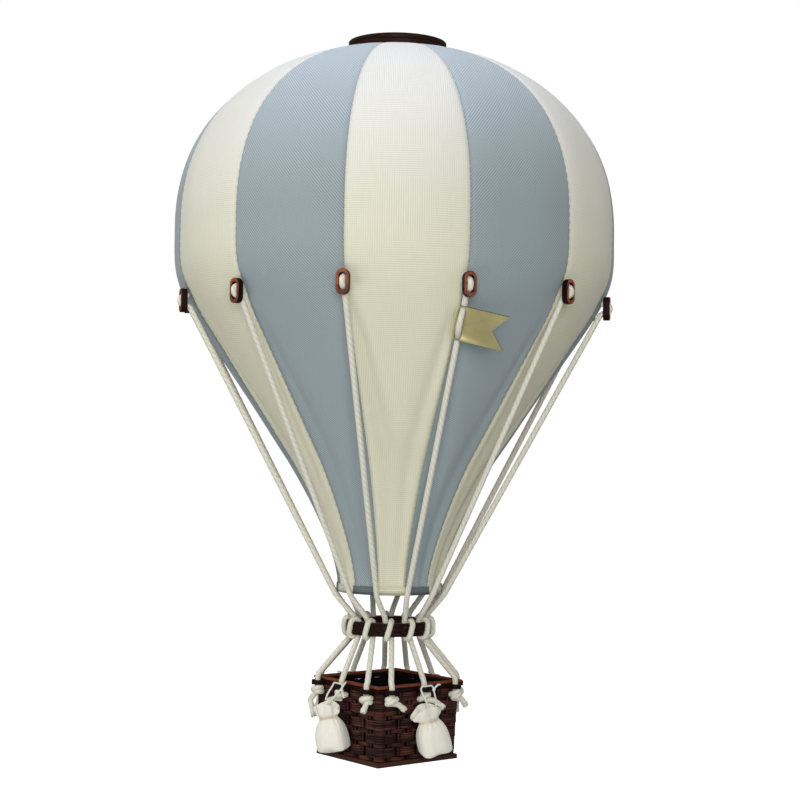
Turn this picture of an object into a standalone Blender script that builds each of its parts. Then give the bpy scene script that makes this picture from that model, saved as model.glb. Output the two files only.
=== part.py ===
"""A hanging hot air balloon decoration.

A sewn envelope of twelve gores hangs from a wooden crown. Twelve cords run from
wooden toggles on its seams, round a load ring, to the ears of a small woven basket.
Units are metres and +Z is up. The origin is the middle of the crown's top, and the
front is -Y. An azimuth is measured from -Y towards +X.
"""

import math

import bmesh
import bpy
from mathutils import Vector
from mathutils.geometry import interpolate_bezier

MM = 0.001
GAP = 0.3 * MM  # what touching pieces keep between their faces

# Crown: two plies over the gores' tips, with a small hole for the hanging line
CROWN_RADIUS = 34 * MM
CROWN_HOLE = 1.5 * MM
CROWN_PLY = 3.25 * MM
CROWN_SIDES = 40

# Envelope profile from crown to mouth. Columns: radius, height, heading below the
# horizontal in degrees, handle before, handle after, steps to the next knot
CLOTH = 1.5 * MM
GORES = 12
GORE_COLUMNS = 3
GORE_TIP = 12.5 * MM
SHOULDER_HEIGHT = -(2 * CROWN_PLY + 2 * GAP)
MOUTH_HEIGHT = -376.2 * MM
MOUTH_RADIUS = 36.2 * MM
PROFILE = (
    (GORE_TIP, SHOULDER_HEIGHT, 0.0, 0.0, 0.0, 1),
    (CROWN_RADIUS, SHOULDER_HEIGHT, 10.6, 0.0, 65.4 * MM, 8),
    (150.7 * MM, -132.3 * MM, 90.0, 74.0 * MM, 30.5 * MM, 5),
    (126.5 * MM, -208.0 * MM, 123.9, 47.7 * MM, 0.0, 1),
    (72.5 * MM, -288.5 * MM, 123.9, 0.0, 17.1 * MM, 5),
    (MOUTH_RADIUS, MOUTH_HEIGHT, 88.0, 20.9 * MM, 0.0, 0),
)
HEM_HEIGHT = 3.8 * MM
HEM_SIDES = 36
HEM_RADIUS = MOUTH_RADIUS + 0.4 * MM

# Toggles: slotted oblong links that stand on the seams
TOGGLE_HEIGHT = -180 * MM
TOGGLE_DROPS = {2: 5.0 * MM, 9: 5.0 * MM, 10: 3.4 * MM}  # toggles that are tied lower
TOGGLE_LONG = 16 * MM
TOGGLE_WIDE = 8.2 * MM
TOGGLE_THICK = 4.6 * MM
SLOT_LONG = 11.2 * MM
SLOT_WIDE = 4.6 * MM
TOGGLE_SIDES = 16

# Cords
CORD_RADIUS = 2.1 * MM
CORD_CLEAR = CORD_RADIUS + GAP  # from a cord's middle to what it bends round
BEND_IN_TOGGLE = 3.2 * MM
KNOT_SWELL = 1.6
TAIL_TO_THE_LEFT = 10  # the one cord over a pouch whose tail leans to the left

# Load ring: three plies on the cords
RING_OUTER = 29 * MM
RING_INNER = 20 * MM
RING_TOP = -399.8 * MM
RING_PLIES = 3
RING_PLY = 2.8 * MM
RING_BOTTOM = RING_TOP - RING_PLIES * RING_PLY - (RING_PLIES - 1) * GAP
RING_SIDES = 36
RING_TURN = math.radians(-13)  # where a cord meets the ring, past its seam
STRANDS_APART = 2.35 * MM  # half the distance between a hitch's two inner strands

# Basket: square, with a corner to the front
BASKET_TURN = math.radians(-9.7)
RIM_TOP = -439.5 * MM
RIM_THICK = 1.7 * MM
RIM_OUTER = 36.5 * MM
RIM_INNER = 33.4 * MM
EAR_TOP = RIM_TOP - RIM_THICK - GAP
EAR_THICK = 3 * MM
EAR_BOTTOM = EAR_TOP - EAR_THICK
EAR_OUT = 39.6 * MM  # from the basket's middle to the hole
EAR_HALF = 4.2 * MM
EAR_HOLE = 2.6 * MM
EAR_STEP = 27.5 * MM
EAR_ROUND = 5  # points on a quarter of a round
WALL_TOP = EAR_BOTTOM - GAP
WALL_BOTTOM = -490.0 * MM
WALL_TOP_HALF = 36 * MM
WALL_BOTTOM_HALF = 34.3 * MM
WALL_THICK = 2.4 * MM
FLOOR_BOTTOM = -493.5 * MM
FLOOR_HALF = 34.6 * MM

# Pouches: small bags that hang on string over the middle ears
STRING_RADIUS = 0.6 * MM
STRING_OUT = 42.7 * MM
STRING_HEIGHT = EAR_TOP + GAP + STRING_RADIUS
STRING_HALF = EAR_HALF + GAP + STRING_RADIUS
POUCH_OUT = 45.4 * MM
POUCH_TURNS = (-20, -8, 8, 25)  # how far each pouch is turned from its wall, degrees
POUCH_SIDES = 16
# Columns: height, half width, half depth
POUCH_SECTIONS = (
    (-454.0 * MM, 8.8 * MM, 5.2 * MM),
    (-459.0 * MM, 7.8 * MM, 4.8 * MM),
    (-463.5 * MM, 6.6 * MM, 4.4 * MM),
    (-466.5 * MM, 9.6 * MM, 6.4 * MM),
    (-471.5 * MM, 12.0 * MM, 8.2 * MM),
    (-478.0 * MM, 13.0 * MM, 8.4 * MM),
    (-483.0 * MM, 12.4 * MM, 6.6 * MM),
    (-485.5 * MM, 11.4 * MM, 3.2 * MM),
)

# Pennant tag: threaded on the cord of the first seam
TAG_SEAM = 0
TAG_HEIGHT = -202 * MM
TAG_LIFT = math.radians(28)  # how far it is turned about the cord, its points off the cloth
TAG_HOIST = 23 * MM
TAG_FLY = 33 * MM
TAG_NOTCH = 9 * MM
TAG_EDGE = 3.7 * MM  # from the hoist edge to the holes' middle
TAG_THICK = 1.2 * MM
TAG_HOLES_APART = 14.0 * MM
TAG_SLOT_LONG = 8.4 * MM
TAG_SLOT_WIDE = 4.8 * MM

# Colour, roughness, metallic
FINISHES = {
    "fabric_white": ((0.78, 0.76, 0.66), 0.9, 0.0),
    "fabric_blue": ((0.36, 0.45, 0.52), 0.9, 0.0),
    "dark_wood": ((0.07, 0.025, 0.015), 0.55, 0.0),
    "basket_weave": ((0.04, 0.018, 0.012), 0.6, 0.0),
    "cotton_cord": ((0.72, 0.70, 0.60), 0.9, 0.0),
    "pouch_cotton": ((0.80, 0.78, 0.68), 0.9, 0.0),
    "gold_tag": ((0.75, 0.62, 0.32), 0.35, 1.0),
}


def finish(slot):
    """The material of a slot, made once."""
    if slot in bpy.data.materials:
        return bpy.data.materials[slot]
    colour, roughness, metallic = FINISHES[slot]
    material = bpy.data.materials.new(slot)
    material.use_nodes = True
    shader = material.node_tree.nodes["Principled BSDF"]
    shader.inputs["Base Color"].default_value = (*colour, 1.0)
    shader.inputs["Roughness"].default_value = roughness
    shader.inputs["Metallic"].default_value = metallic
    return material


def add_object(name, data, slot):
    """Puts a mesh or curve into the scene under its name, with its material."""
    piece = bpy.data.objects.new(name, data)
    bpy.context.collection.objects.link(piece)
    data.materials.append(finish(slot))
    return piece


def add_mesh(name, bm, slot, smooth_angle=None):
    """Turns a bmesh into an object, its faces pointing out."""
    bm.normal_update()
    bmesh.ops.recalc_face_normals(bm, faces=bm.faces)
    mesh = bpy.data.meshes.new(name)
    bm.to_mesh(mesh)
    bm.free()
    if smooth_angle is not None:
        mesh.shade_smooth()
        mesh.set_sharp_from_angle(angle=smooth_angle)
    return add_object(name, mesh, slot)


def at(azimuth, radius, height, aside=0.0):
    """A point by azimuth and radius, moved aside along the tangent."""
    out = Vector((math.sin(azimuth), -math.cos(azimuth), 0.0))
    along = Vector((math.cos(azimuth), math.sin(azimuth), 0.0))
    return out * radius + along * aside + Vector((0.0, 0.0, height))


def arc(centre, radius, start, end, steps):
    """Points of an arc in the plane of radius and height, angles in degrees."""
    points = []
    for i in range(steps + 1):
        angle = math.radians(start + (end - start) * i / steps)
        points.append((centre[0] + radius * math.cos(angle), centre[1] + radius * math.sin(angle)))
    return points


def envelope_profile():
    """Radius and height down the envelope's outside, crown to mouth."""
    points = []
    for here, after in zip(PROFILE, PROFILE[1:]):
        headings = [Vector((math.cos(math.radians(k[2])), -math.sin(math.radians(k[2])))) for k in (here, after)]
        knots = [Vector(k[:2]) for k in (here, after)]
        handles = (knots[0] + headings[0] * here[4], knots[1] - headings[1] * after[3])
        if here[4] == after[3] == 0.0:
            points.append(knots[0])
            continue
        curve = interpolate_bezier(knots[0], handles[0], handles[1], knots[1], here[5] + 1)
        points.extend(Vector(p[:2]) for p in curve[:-1])
    points.append(Vector(PROFILE[-1][:2]))
    return points


def cloth_radius(height):
    """The envelope's outer radius at a height below its widest place."""
    points = envelope_profile()
    for upper, lower in zip(points, points[1:]):
        if upper.y >= height >= lower.y and upper.y > lower.y:
            share = (upper.y - height) / (upper.y - lower.y)
            radius = upper.x + (lower.x - upper.x) * share
    return radius


def closed_extrusion(bm, faces, shift):
    """Gives flat faces a thickness and keeps both of their sides."""
    copy = bmesh.ops.extrude_face_region(bm, geom=faces, use_keep_orig=True)
    moved = [g for g in copy["geom"] if isinstance(g, bmesh.types.BMVert)]
    bmesh.ops.translate(bm, verts=moved, vec=shift)


def ring(name, outer, inner, top, thick, sides, slot):
    """A flat turned ring or a disc with a hole."""
    bm = bmesh.new()
    for radius in (outer, inner):
        circle = bmesh.ops.create_circle(bm, segments=sides, radius=radius)
        bmesh.ops.translate(bm, verts=circle["verts"], vec=(0.0, 0.0, top))
    flat = bmesh.ops.bridge_loops(bm, edges=bm.edges[:])
    closed_extrusion(bm, flat["faces"], (0.0, 0.0, -thick))
    return add_mesh(name, bm, slot, math.radians(40))


def tube(name, points, radius, slot, swell=None):
    """A cord through points, with a swell factor at some of them for a knot."""
    curve = bpy.data.curves.new(name, "CURVE")
    curve.dimensions = "3D"
    curve.bevel_depth = radius
    curve.bevel_resolution = 2
    curve.render_resolution_u = 0
    curve.use_fill_caps = True
    spline = curve.splines.new("POLY")
    spline.points.add(len(points) - 1)
    for i, (place, point) in enumerate(zip(points, spline.points)):
        point.co = (*place, 1.0)
        point.radius = swell[i] if swell else 1.0
    return add_object(name, curve, slot)


def make_crown():
    """Two wooden discs over the gores' tips."""
    ring("crown_cap", CROWN_RADIUS, CROWN_HOLE, 0.0, CROWN_PLY, CROWN_SIDES, "dark_wood")
    ring("crown_base", CROWN_RADIUS, CROWN_HOLE, -CROWN_PLY - GAP, CROWN_PLY, CROWN_SIDES, "dark_wood")


def make_gores():
    """Twelve cloth panels, each spun from the profile and given the cloth's thickness."""
    profile = envelope_profile()
    half = math.pi / GORES
    for number in range(GORES):
        middle = number * 2 * half
        bm = bmesh.new()
        chain = [bm.verts.new(at(middle - half, p.x, p.y)) for p in profile]
        edges = [bm.edges.new(pair) for pair in zip(chain, chain[1:])]
        spun = bmesh.ops.spin(
            bm, geom=chain + edges, cent=(0, 0, 0), axis=(0, 0, 1), angle=2 * half, steps=GORE_COLUMNS
        )
        last = [g for g in spun["geom_last"] if isinstance(g, bmesh.types.BMVert)]
        bmesh.ops.translate(bm, verts=chain, vec=at(middle - half, 0.0, 0.0, GAP))
        bmesh.ops.translate(bm, verts=last, vec=at(middle + half, 0.0, 0.0, -GAP))
        widest = max(bm.faces, key=lambda f: f.calc_center_median().xy.length)
        widest.normal_update()
        if widest.normal.dot(widest.calc_center_median()) < 0:
            bmesh.ops.reverse_faces(bm, faces=bm.faces[:])
        mesh = bpy.data.meshes.new("gore")
        bm.to_mesh(mesh)
        bm.free()
        mesh.shade_smooth()
        gore = add_object(f"gore_{number + 1:02d}", mesh, "fabric_blue" if number % 2 else "fabric_white")
        wall = gore.modifiers.new("cloth", "SOLIDIFY")
        wall.thickness = CLOTH
        wall.offset = -1.0
    ring("mouth_hem", HEM_RADIUS, HEM_RADIUS - CLOTH, MOUTH_HEIGHT - GAP, HEM_HEIGHT, HEM_SIDES, "fabric_white")


def stadium(bm, wide, long):
    """A round-ended outline standing in the plane of X and Z."""
    circle = bmesh.ops.create_circle(bm, segments=TOGGLE_SIDES, radius=wide / 2)
    for vert in circle["verts"]:
        x, y = vert.co.x, vert.co.y
        shift = math.copysign((long - wide) / 2, y) if abs(y) > 1e-9 else 0.0
        vert.co = (x, 0.0, y + shift)
    return circle["verts"]


def toggle_height(number):
    return TOGGLE_HEIGHT - TOGGLE_DROPS.get(number, 0.0)


def toggle_faces(number):
    """Radii of a toggle's inner and outer face: its top edge stands on the seam."""
    inner = cloth_radius(toggle_height(number) + TOGGLE_LONG / 2) + GAP
    return inner, inner + TOGGLE_THICK


def seam_azimuth(number):
    return (number + 0.5) * 2 * math.pi / GORES


def make_toggles():
    """A slotted wooden link on each seam."""
    for number in range(GORES):
        outer = toggle_faces(number)[1]
        bm = bmesh.new()
        stadium(bm, TOGGLE_WIDE, TOGGLE_LONG)
        stadium(bm, SLOT_WIDE, SLOT_LONG)
        flat = bmesh.ops.bridge_loops(bm, edges=bm.edges[:])
        closed_extrusion(bm, flat["faces"], (0.0, TOGGLE_THICK, 0.0))
        azimuth = seam_azimuth(number)
        for vert in bm.verts:
            vert.co = at(azimuth, outer - vert.co.y, toggle_height(number) + vert.co.z, vert.co.x)
        add_mesh(f"toggle_{number + 1:02d}", bm, "dark_wood", math.radians(40))


def cord_heading(start, end):
    """Degrees from straight down, of the straight run between two points, inwards positive."""
    return math.degrees(math.atan2(start[0] - end[0], start[1] - end[1]))


def upper_route(number):
    """Radius and height from the seam through the toggle and down to the mouth."""
    inner, outer = toggle_faces(number)
    middle = toggle_height(number)
    slot_bottom = middle - SLOT_LONG / 2
    hem_edge = (HEM_RADIUS, MOUTH_HEIGHT - GAP - HEM_HEIGHT)
    run = cord_heading((inner, slot_bottom), hem_edge)
    to_ring = cord_heading(hem_edge, (RING_INNER, RING_TOP))
    start = middle + BEND_IN_TOGGLE
    route = [(cloth_radius(start - CORD_RADIUS) + 2.4 * MM, start)]
    route += arc((outer - 3.0 * MM, middle), BEND_IN_TOGGLE, 90, -90, 5)
    route += arc((inner, slot_bottom), CORD_CLEAR, 90, 180 - run, 2)
    route += arc(hem_edge, CORD_CLEAR, -run, -to_ring, 1)
    return route


def ring_route():
    """The hitch round the load ring: radius, height and aside."""
    to_ring = cord_heading((HEM_RADIUS, MOUTH_HEIGHT - HEM_HEIGHT), (RING_INNER, RING_TOP))
    corners = {
        "inner_top": (RING_INNER, RING_TOP),
        "inner_bottom": (RING_INNER, RING_BOTTOM),
        "outer_bottom": (RING_OUTER, RING_BOTTOM),
        "outer_top": (RING_OUTER, RING_TOP),
    }
    # Columns: corner, start angle, end angle, steps, aside at its start and end in strands apart
    turns = (
        ("inner_top", 180 - to_ring, 180, 1, -1.0, -1.0),
        ("inner_bottom", 180, 270, 2, -1.0, -0.7),
        ("outer_bottom", 270, 360, 2, -0.4, -0.1),
        ("outer_top", 0, 90, 2, 0.2, 0.6),
        ("inner_top", 90, 180, 2, 0.9, 1.0),
        ("inner_bottom", 180, 218, 1, 1.0, 1.0),
    )
    route = []
    for corner, start, end, steps, aside, aside_end in turns:
        bend = arc(corners[corner], CORD_CLEAR, start, end, steps)
        for i, (radius, height) in enumerate(bend):
            share = i / steps
            route.append((radius, height, STRANDS_APART * (aside + (aside_end - aside) * share)))
    return route


def side_azimuth(side):
    return BASKET_TURN + math.radians(45 + 90 * side)


def ear_of(number):
    """The basket side of a cord's ear, and how far the ear is along it."""
    return number // 3, (number % 3 - 1) * EAR_STEP


def lower_route(number):
    """Points and swell factors from above the ear to the tail's end."""
    side, along = ear_of(number)
    azimuth = side_azimuth(side)
    knot = EAR_BOTTOM - GAP - KNOT_SWELL * CORD_RADIUS
    lean = -1.0 if number == TAIL_TO_THE_LEFT else 1.0
    # Columns: out, height, aside, swell
    rows = [
        (EAR_OUT - 0.9 * MM, EAR_TOP + 4.6 * MM, 0.0, 1.0),
        (EAR_OUT, EAR_TOP + 2.4 * MM, 0.0, 1.0),
        (EAR_OUT, EAR_BOTTOM - GAP, 0.0, 1.0),
        (EAR_OUT, knot + 1.8 * MM, 0.0, KNOT_SWELL - 0.2),
        (EAR_OUT, knot, 0.0, KNOT_SWELL),
    ]
    if along == 0.0:
        rows += [
            (EAR_OUT, knot - 1.4 * MM, 2.4 * MM * lean, 1.2),
            (EAR_OUT, knot - 1.8 * MM, 5.6 * MM * lean, 0.95),
            (EAR_OUT, knot - 3.0 * MM, 11.4 * MM * lean, 0.95),
            (EAR_OUT, knot - 9.0 * MM, 13.8 * MM * lean, 0.95),
        ]
    else:
        rows += [
            (EAR_OUT, knot - 2.2 * MM, 0.0, KNOT_SWELL - 0.2),
            (EAR_OUT, knot - 3.8 * MM, 0.0, 1.0),
            (EAR_OUT + 1.4 * MM, knot - 14.0 * MM, 1.5 * MM, 1.0),
        ]
    places = [at(azimuth, out, height, along + aside) for out, height, aside, _ in rows]
    return places, [row[3] for row in rows]


def tag_frame():
    """The tag's middle on its cord, with unit vectors down the cord, across and out."""
    azimuth = seam_azimuth(TAG_SEAM)
    route = upper_route(TAG_SEAM)
    upper, lower = route[-3], route[-2]
    share = (upper[1] - TAG_HEIGHT) / (upper[1] - lower[1])
    place = at(azimuth, upper[0] + (lower[0] - upper[0]) * share, TAG_HEIGHT)
    down = (at(azimuth, *lower) - at(azimuth, *upper)).normalized()
    level = at(azimuth, 0.0, 0.0, 1.0)
    across = level * math.cos(TAG_LIFT) + down.cross(level) * math.sin(TAG_LIFT)
    return place, down, across, down.cross(across)


def tag_weave():
    """Points of the cord where it passes in front of the tag between its two slots."""
    place, down, _, out = tag_frame()
    stand = CORD_RADIUS + TAG_THICK / 2 + GAP
    slant = 3.4 * MM
    half = TAG_HOLES_APART / 2
    # Columns: distance down the cord, side of the plate
    bends = ((-half - slant, -1), (-half + slant, 1), (half - slant, 1), (half + slant, -1))
    return [place + down * along + out * stand * (1 + side) for along, side in bends]


def make_cords():
    """One cord from each seam, through its toggle, round the ring and through its ear."""
    for number in range(GORES):
        seam = seam_azimuth(number)
        upper = [at(seam, radius, height) for radius, height in upper_route(number)]
        if number == TAG_SEAM:
            upper[-2:-2] = tag_weave()
        hitch = [at(seam + RING_TURN, *place) for place in ring_route()]
        lower, swell = lower_route(number)
        points = upper + hitch + lower
        swells = [1.0] * (len(upper) + len(hitch)) + swell
        tube(f"stay_{number + 1:02d}", points, CORD_RADIUS, "cotton_cord", swells)


def make_load_ring():
    """Three wooden plies."""
    for ply in range(RING_PLIES):
        top = RING_TOP - ply * (RING_PLY + GAP)
        ring(f"load_ring_ply_{ply + 1}", RING_OUTER, RING_INNER, top, RING_PLY, RING_SIDES, "dark_wood")


def square(half):
    """Corners of the basket's square, at half its side."""
    return [at(side_azimuth(side), half, 0.0, half) for side in range(4)]


def ear_outline():
    """The ear ply's outer edge: the basket's square with three round-ended ears a side."""
    points = []
    for side in range(4):
        azimuth = side_azimuth(side)
        for ear in (-1, 0, 1):
            along = ear * EAR_STEP
            points.append(at(azimuth, WALL_TOP_HALF, 0.0, along - EAR_HALF))
            for out, aside in arc((EAR_OUT, along), EAR_HALF, -90, 90, 2 * EAR_ROUND - 2):
                points.append(at(azimuth, out, 0.0, aside))
            points.append(at(azimuth, WALL_TOP_HALF, 0.0, along + EAR_HALF))
        points.append(at(azimuth, WALL_TOP_HALF, 0.0, WALL_TOP_HALF))
    return points


def ear_hole(number):
    """The edge of one ear's hole."""
    side, along = ear_of(number)
    edge = arc((EAR_OUT, along), EAR_HOLE, 0, 360, 12)[:-1]
    return [at(side_azimuth(side), out, 0.0, aside) for out, aside in edge]


def plate(name, outlines, top, thick, slot):
    """A flat plate from closed outlines, the first its edge and the others its holes."""
    curve = bpy.data.curves.new(name, "CURVE")
    curve.dimensions = "2D"
    curve.fill_mode = "BOTH"
    curve.extrude = thick / 2
    for outline in outlines:
        spline = curve.splines.new("POLY")
        spline.points.add(len(outline) - 1)
        for place, point in zip(outline, spline.points):
            point.co = (place.x, place.y, 0.0, 1.0)
        spline.use_cyclic_u = True
    guide = bpy.data.objects.new(name, curve)
    mesh = bpy.data.meshes.new_from_object(guide)
    bpy.data.objects.remove(guide)
    bm = bmesh.new()
    bm.from_mesh(mesh)
    bmesh.ops.remove_doubles(bm, verts=bm.verts, dist=1e-6)
    bmesh.ops.translate(bm, verts=bm.verts, vec=(0.0, 0.0, top - thick / 2))
    bpy.data.meshes.remove(mesh)
    return add_mesh(name, bm, slot)


def make_wall(side):
    """A mitred, slightly tapered wall."""
    bm = bmesh.new()
    bmesh.ops.create_cube(bm, size=1.0)
    azimuth = side_azimuth(side)
    for vert in bm.verts:
        top = vert.co.z > 0
        out = WALL_TOP_HALF if top else WALL_BOTTOM_HALF
        if vert.co.y < 0:
            out -= WALL_THICK
        height = WALL_TOP if top else WALL_BOTTOM
        vert.co = at(azimuth, out, height, math.copysign(out - GAP, vert.co.x))
    add_mesh(f"basket_wall_{side + 1}", bm, "basket_weave")


def make_basket():
    """Floor, four walls, the ply with the ears, and the rim over it."""
    plate("basket_floor", [square(FLOOR_HALF)], WALL_BOTTOM - GAP, WALL_BOTTOM - GAP - FLOOR_BOTTOM, "dark_wood")
    for side in range(4):
        make_wall(side)
    holes = [ear_hole(number) for number in range(GORES)]
    plate("ear_frame", [ear_outline(), square(RIM_INNER), *holes], EAR_TOP, EAR_THICK, "dark_wood")
    plate("basket_rim", [square(RIM_OUTER), square(RIM_INNER)], RIM_TOP, RIM_THICK, "dark_wood")


def make_pouch(side):
    """A small bag with a pinched neck and a flared mouth, and the string that carries it."""
    azimuth = side_azimuth(side)
    turned = azimuth + math.radians(POUCH_TURNS[side])
    middle = at(azimuth, POUCH_OUT, 0.0)
    bm = bmesh.new()
    rings = []
    for height, half_width, half_depth in POUCH_SECTIONS:
        circle = bmesh.ops.create_circle(bm, segments=POUCH_SIDES, radius=1.0)["verts"]
        for vert in circle:
            vert.co = middle + at(turned, vert.co.y * half_depth, height, vert.co.x * half_width)
        rings.append(circle)
    for upper, lower in zip(rings, rings[1:]):
        edges = {e for v in (*upper, *lower) for e in v.link_edges if e.other_vert(v) in (*upper, *lower)}
        flat = [e for e in edges if abs(e.verts[0].co.z - e.verts[1].co.z) < 1e-9]
        bmesh.ops.bridge_loops(bm, edges=flat)
    for end in (rings[0], rings[-1]):
        bm.faces.new(end)
    add_mesh(f"pouch_{side + 1}", bm, "pouch_cotton", math.radians(60))
    leg_end = POUCH_SECTIONS[0][0] + GAP
    # Columns: height, aside
    route = (
        (leg_end, -STRING_HALF),
        (STRING_HEIGHT - 1.0 * MM, -STRING_HALF),
        (STRING_HEIGHT - 0.3 * MM, -STRING_HALF + 0.3 * MM),
        (STRING_HEIGHT, -STRING_HALF + 1.0 * MM),
        (STRING_HEIGHT, STRING_HALF - 1.0 * MM),
        (STRING_HEIGHT - 0.3 * MM, STRING_HALF - 0.3 * MM),
        (STRING_HEIGHT - 1.0 * MM, STRING_HALF),
        (leg_end, STRING_HALF),
    )
    points = [at(azimuth, STRING_OUT, height, aside) for height, aside in route]
    tube(f"pouch_string_{side + 1}", points, STRING_RADIUS, "pouch_cotton")


def make_tag():
    """The swallow-tailed pennant, with two slots that its cord is threaded through."""
    half = TAG_HOIST / 2
    # Columns: across from the cord, down along it
    outline = (
        (-TAG_EDGE, -half),
        (TAG_FLY - TAG_EDGE, -half),
        (TAG_FLY - TAG_EDGE - TAG_NOTCH, 0.0),
        (TAG_FLY - TAG_EDGE, half),
        (-TAG_EDGE, half),
    )
    outlines = [[Vector((x, -y, 0.0)) for x, y in outline]]
    for hole in (-1, 1):
        middle = hole * TAG_HOLES_APART / 2
        reach = (TAG_SLOT_LONG - TAG_SLOT_WIDE) / 2
        edge = arc((0.0, middle + reach), TAG_SLOT_WIDE / 2, 0, 180, 6)
        edge += arc((0.0, middle - reach), TAG_SLOT_WIDE / 2, 180, 360, 6)
        outlines.append([Vector((x, y, 0.0)) for x, y in edge])
    tag = plate("pennant_tag", outlines, TAG_THICK / 2, TAG_THICK, "gold_tag")
    place, down, across, out = tag_frame()
    stand = CORD_RADIUS + TAG_THICK / 2 + GAP
    for vert in tag.data.vertices:
        x, y, z = vert.co
        vert.co = place + across * x - down * y + out * (z + stand)
    tag.data.update()


def main():
    for left_over in list(bpy.data.objects):
        bpy.data.objects.remove(left_over)
    make_crown()
    make_gores()
    make_toggles()
    make_cords()
    make_load_ring()
    make_basket()
    for side in range(4):
        make_pouch(side)
    make_tag()


main()
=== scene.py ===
"""A hanging hot air balloon decoration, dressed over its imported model.

Twelve sewn gores hang from a wooden crown. Twelve cords run through toggles, round a
load ring and through the ears of a small woven basket, where little cotton pouches
hang. Units are metres and +Z is up. An azimuth is measured from -Y, the front,
towards +X.
"""

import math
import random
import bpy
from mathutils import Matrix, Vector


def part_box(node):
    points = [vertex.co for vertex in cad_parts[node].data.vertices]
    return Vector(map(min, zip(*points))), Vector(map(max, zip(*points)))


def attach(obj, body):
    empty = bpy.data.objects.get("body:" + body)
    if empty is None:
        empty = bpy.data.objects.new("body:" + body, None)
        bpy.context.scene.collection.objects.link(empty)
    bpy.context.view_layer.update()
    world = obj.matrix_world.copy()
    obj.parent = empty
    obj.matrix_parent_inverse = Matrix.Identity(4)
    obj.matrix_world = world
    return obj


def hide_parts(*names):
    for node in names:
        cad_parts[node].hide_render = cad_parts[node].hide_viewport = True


bl_info = {
    "name": "Hanging hot air balloon",
    "version": (1, 0, 0),
    "blender": (4, 5, 0),
    "location": "View3D > Sidebar > Balloon",
    "description": "Dresses a hanging hot air balloon with cloth gores, cords, wood and a woven basket",
    "category": "Object",
}

import bmesh
import bpy
from mathutils import Matrix, Vector, noise
from mathutils.geometry import interpolate_bezier

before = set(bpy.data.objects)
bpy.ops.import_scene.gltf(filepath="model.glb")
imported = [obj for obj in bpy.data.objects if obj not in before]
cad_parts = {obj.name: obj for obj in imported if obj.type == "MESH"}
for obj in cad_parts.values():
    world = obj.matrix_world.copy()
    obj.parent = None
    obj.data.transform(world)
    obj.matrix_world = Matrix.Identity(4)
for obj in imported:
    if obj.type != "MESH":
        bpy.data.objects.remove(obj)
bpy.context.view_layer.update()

MM = 0.001
GAP = 0.3 * MM
BODY = "balloon"
UP = Vector((0.0, 0.0, 1.0))
WHITE = (1.0, 1.0, 1.0, 1.0)


def lowest(node):
    """The height of a CAD node's bottom."""
    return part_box(node)[0].z


def highest(node):
    """The height of a CAD node's top."""
    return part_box(node)[1].z


# Envelope, from crown to mouth. Columns: radius, height, heading below the horizontal
# in degrees, handle before, handle after
GORES = 12
HALF_GORE = math.pi / GORES
CROWN_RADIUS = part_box("crown_cap")[1].x
CROWN_HOLE = 1.5 * MM
SHOULDER_HEIGHT = -7.1 * MM
MOUTH_HEIGHT = -376.2 * MM
MOUTH_RADIUS = 36.2 * MM
WIDEST_HEIGHT = -132.3 * MM
PROFILE = (
    (12.5 * MM, SHOULDER_HEIGHT, 0.0, 0.0, 7.0 * MM),
    (CROWN_RADIUS, SHOULDER_HEIGHT, 10.6, 7.0 * MM, 65.4 * MM),
    (150.7 * MM, WIDEST_HEIGHT, 90.0, 74.0 * MM, 30.5 * MM),
    (126.5 * MM, -208.0 * MM, 123.9, 47.7 * MM, 30.0 * MM),
    (72.5 * MM, -288.5 * MM, 123.9, 30.0 * MM, 17.1 * MM),
    (MOUTH_RADIUS, MOUTH_HEIGHT, 88.0, 20.9 * MM, 0.0),
)
HEM_BOTTOM = lowest("mouth_hem")
HEM_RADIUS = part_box("mouth_hem")[1].x

# Toggles on the seams
TOGGLE_HEIGHT = -180 * MM
TOGGLE_DROPS = {2: 5.0 * MM, 9: 5.0 * MM, 10: 3.4 * MM}  # three are tied lower
TOGGLE_LONG = 16 * MM
TOGGLE_WIDE = 8.2 * MM
TOGGLE_THICK = 4.6 * MM
SLOT_LONG = 11.2 * MM
SLOT_WIDE = 4.6 * MM
TOGGLE_EASE = 0.55 * MM
TOGGLE_INSET = 0.28 * MM

# Cords, with the radius that they have in the solids; the twisted ones are a little thinner
CORD_RADIUS = 2.1 * MM
CORD_CLEAR = CORD_RADIUS + GAP
CORD_OFF_CLOTH = 2.4 * MM
BEND_IN_TOGGLE = 3.2 * MM
BEND_BEHIND_FACE = 3.0 * MM
STRANDS = 3
SMOOTHING = 3  # how often a cord's route is smoothed

# Load ring
RING_OUTER = 29 * MM
RING_INNER = 20 * MM
RING_PLIES = 3
RING_TOP = highest("load_ring_ply_1")
RING_BOTTOM = lowest("load_ring_ply_3")
RING_TURN = math.radians(-13)

# Its holes, one for each cord: how far out and how far aside of the hitch, length and width
HOLE_OUT = 24.0 * MM
HOLE_ASIDE = -2.0 * MM
HOLE_LONG = 8.8 * MM
HOLE_WIDE = 4.6 * MM

# Basket, a square with a corner to the front
BASKET_TURN = math.radians(-9.7)
EAR_TOP = highest("ear_frame")
EAR_BOTTOM = lowest("ear_frame")
EAR_OUT = 39.6 * MM
EAR_STEP = 27.5 * MM
WALL_TOP = highest("basket_wall_1")
WALL_BOTTOM = lowest("basket_wall_1")
WALL_TOP_HALF = 36 * MM
WALL_BOTTOM_HALF = 34.3 * MM
CORNER_RADIUS = 4.2 * MM
# A near-black shell of painted shade behind the weave: its inset and thickness
SHADE_SHELL_DEPTH = 3.0 * MM
SHADE_SHELL_THICK = 0.4 * MM

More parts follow.
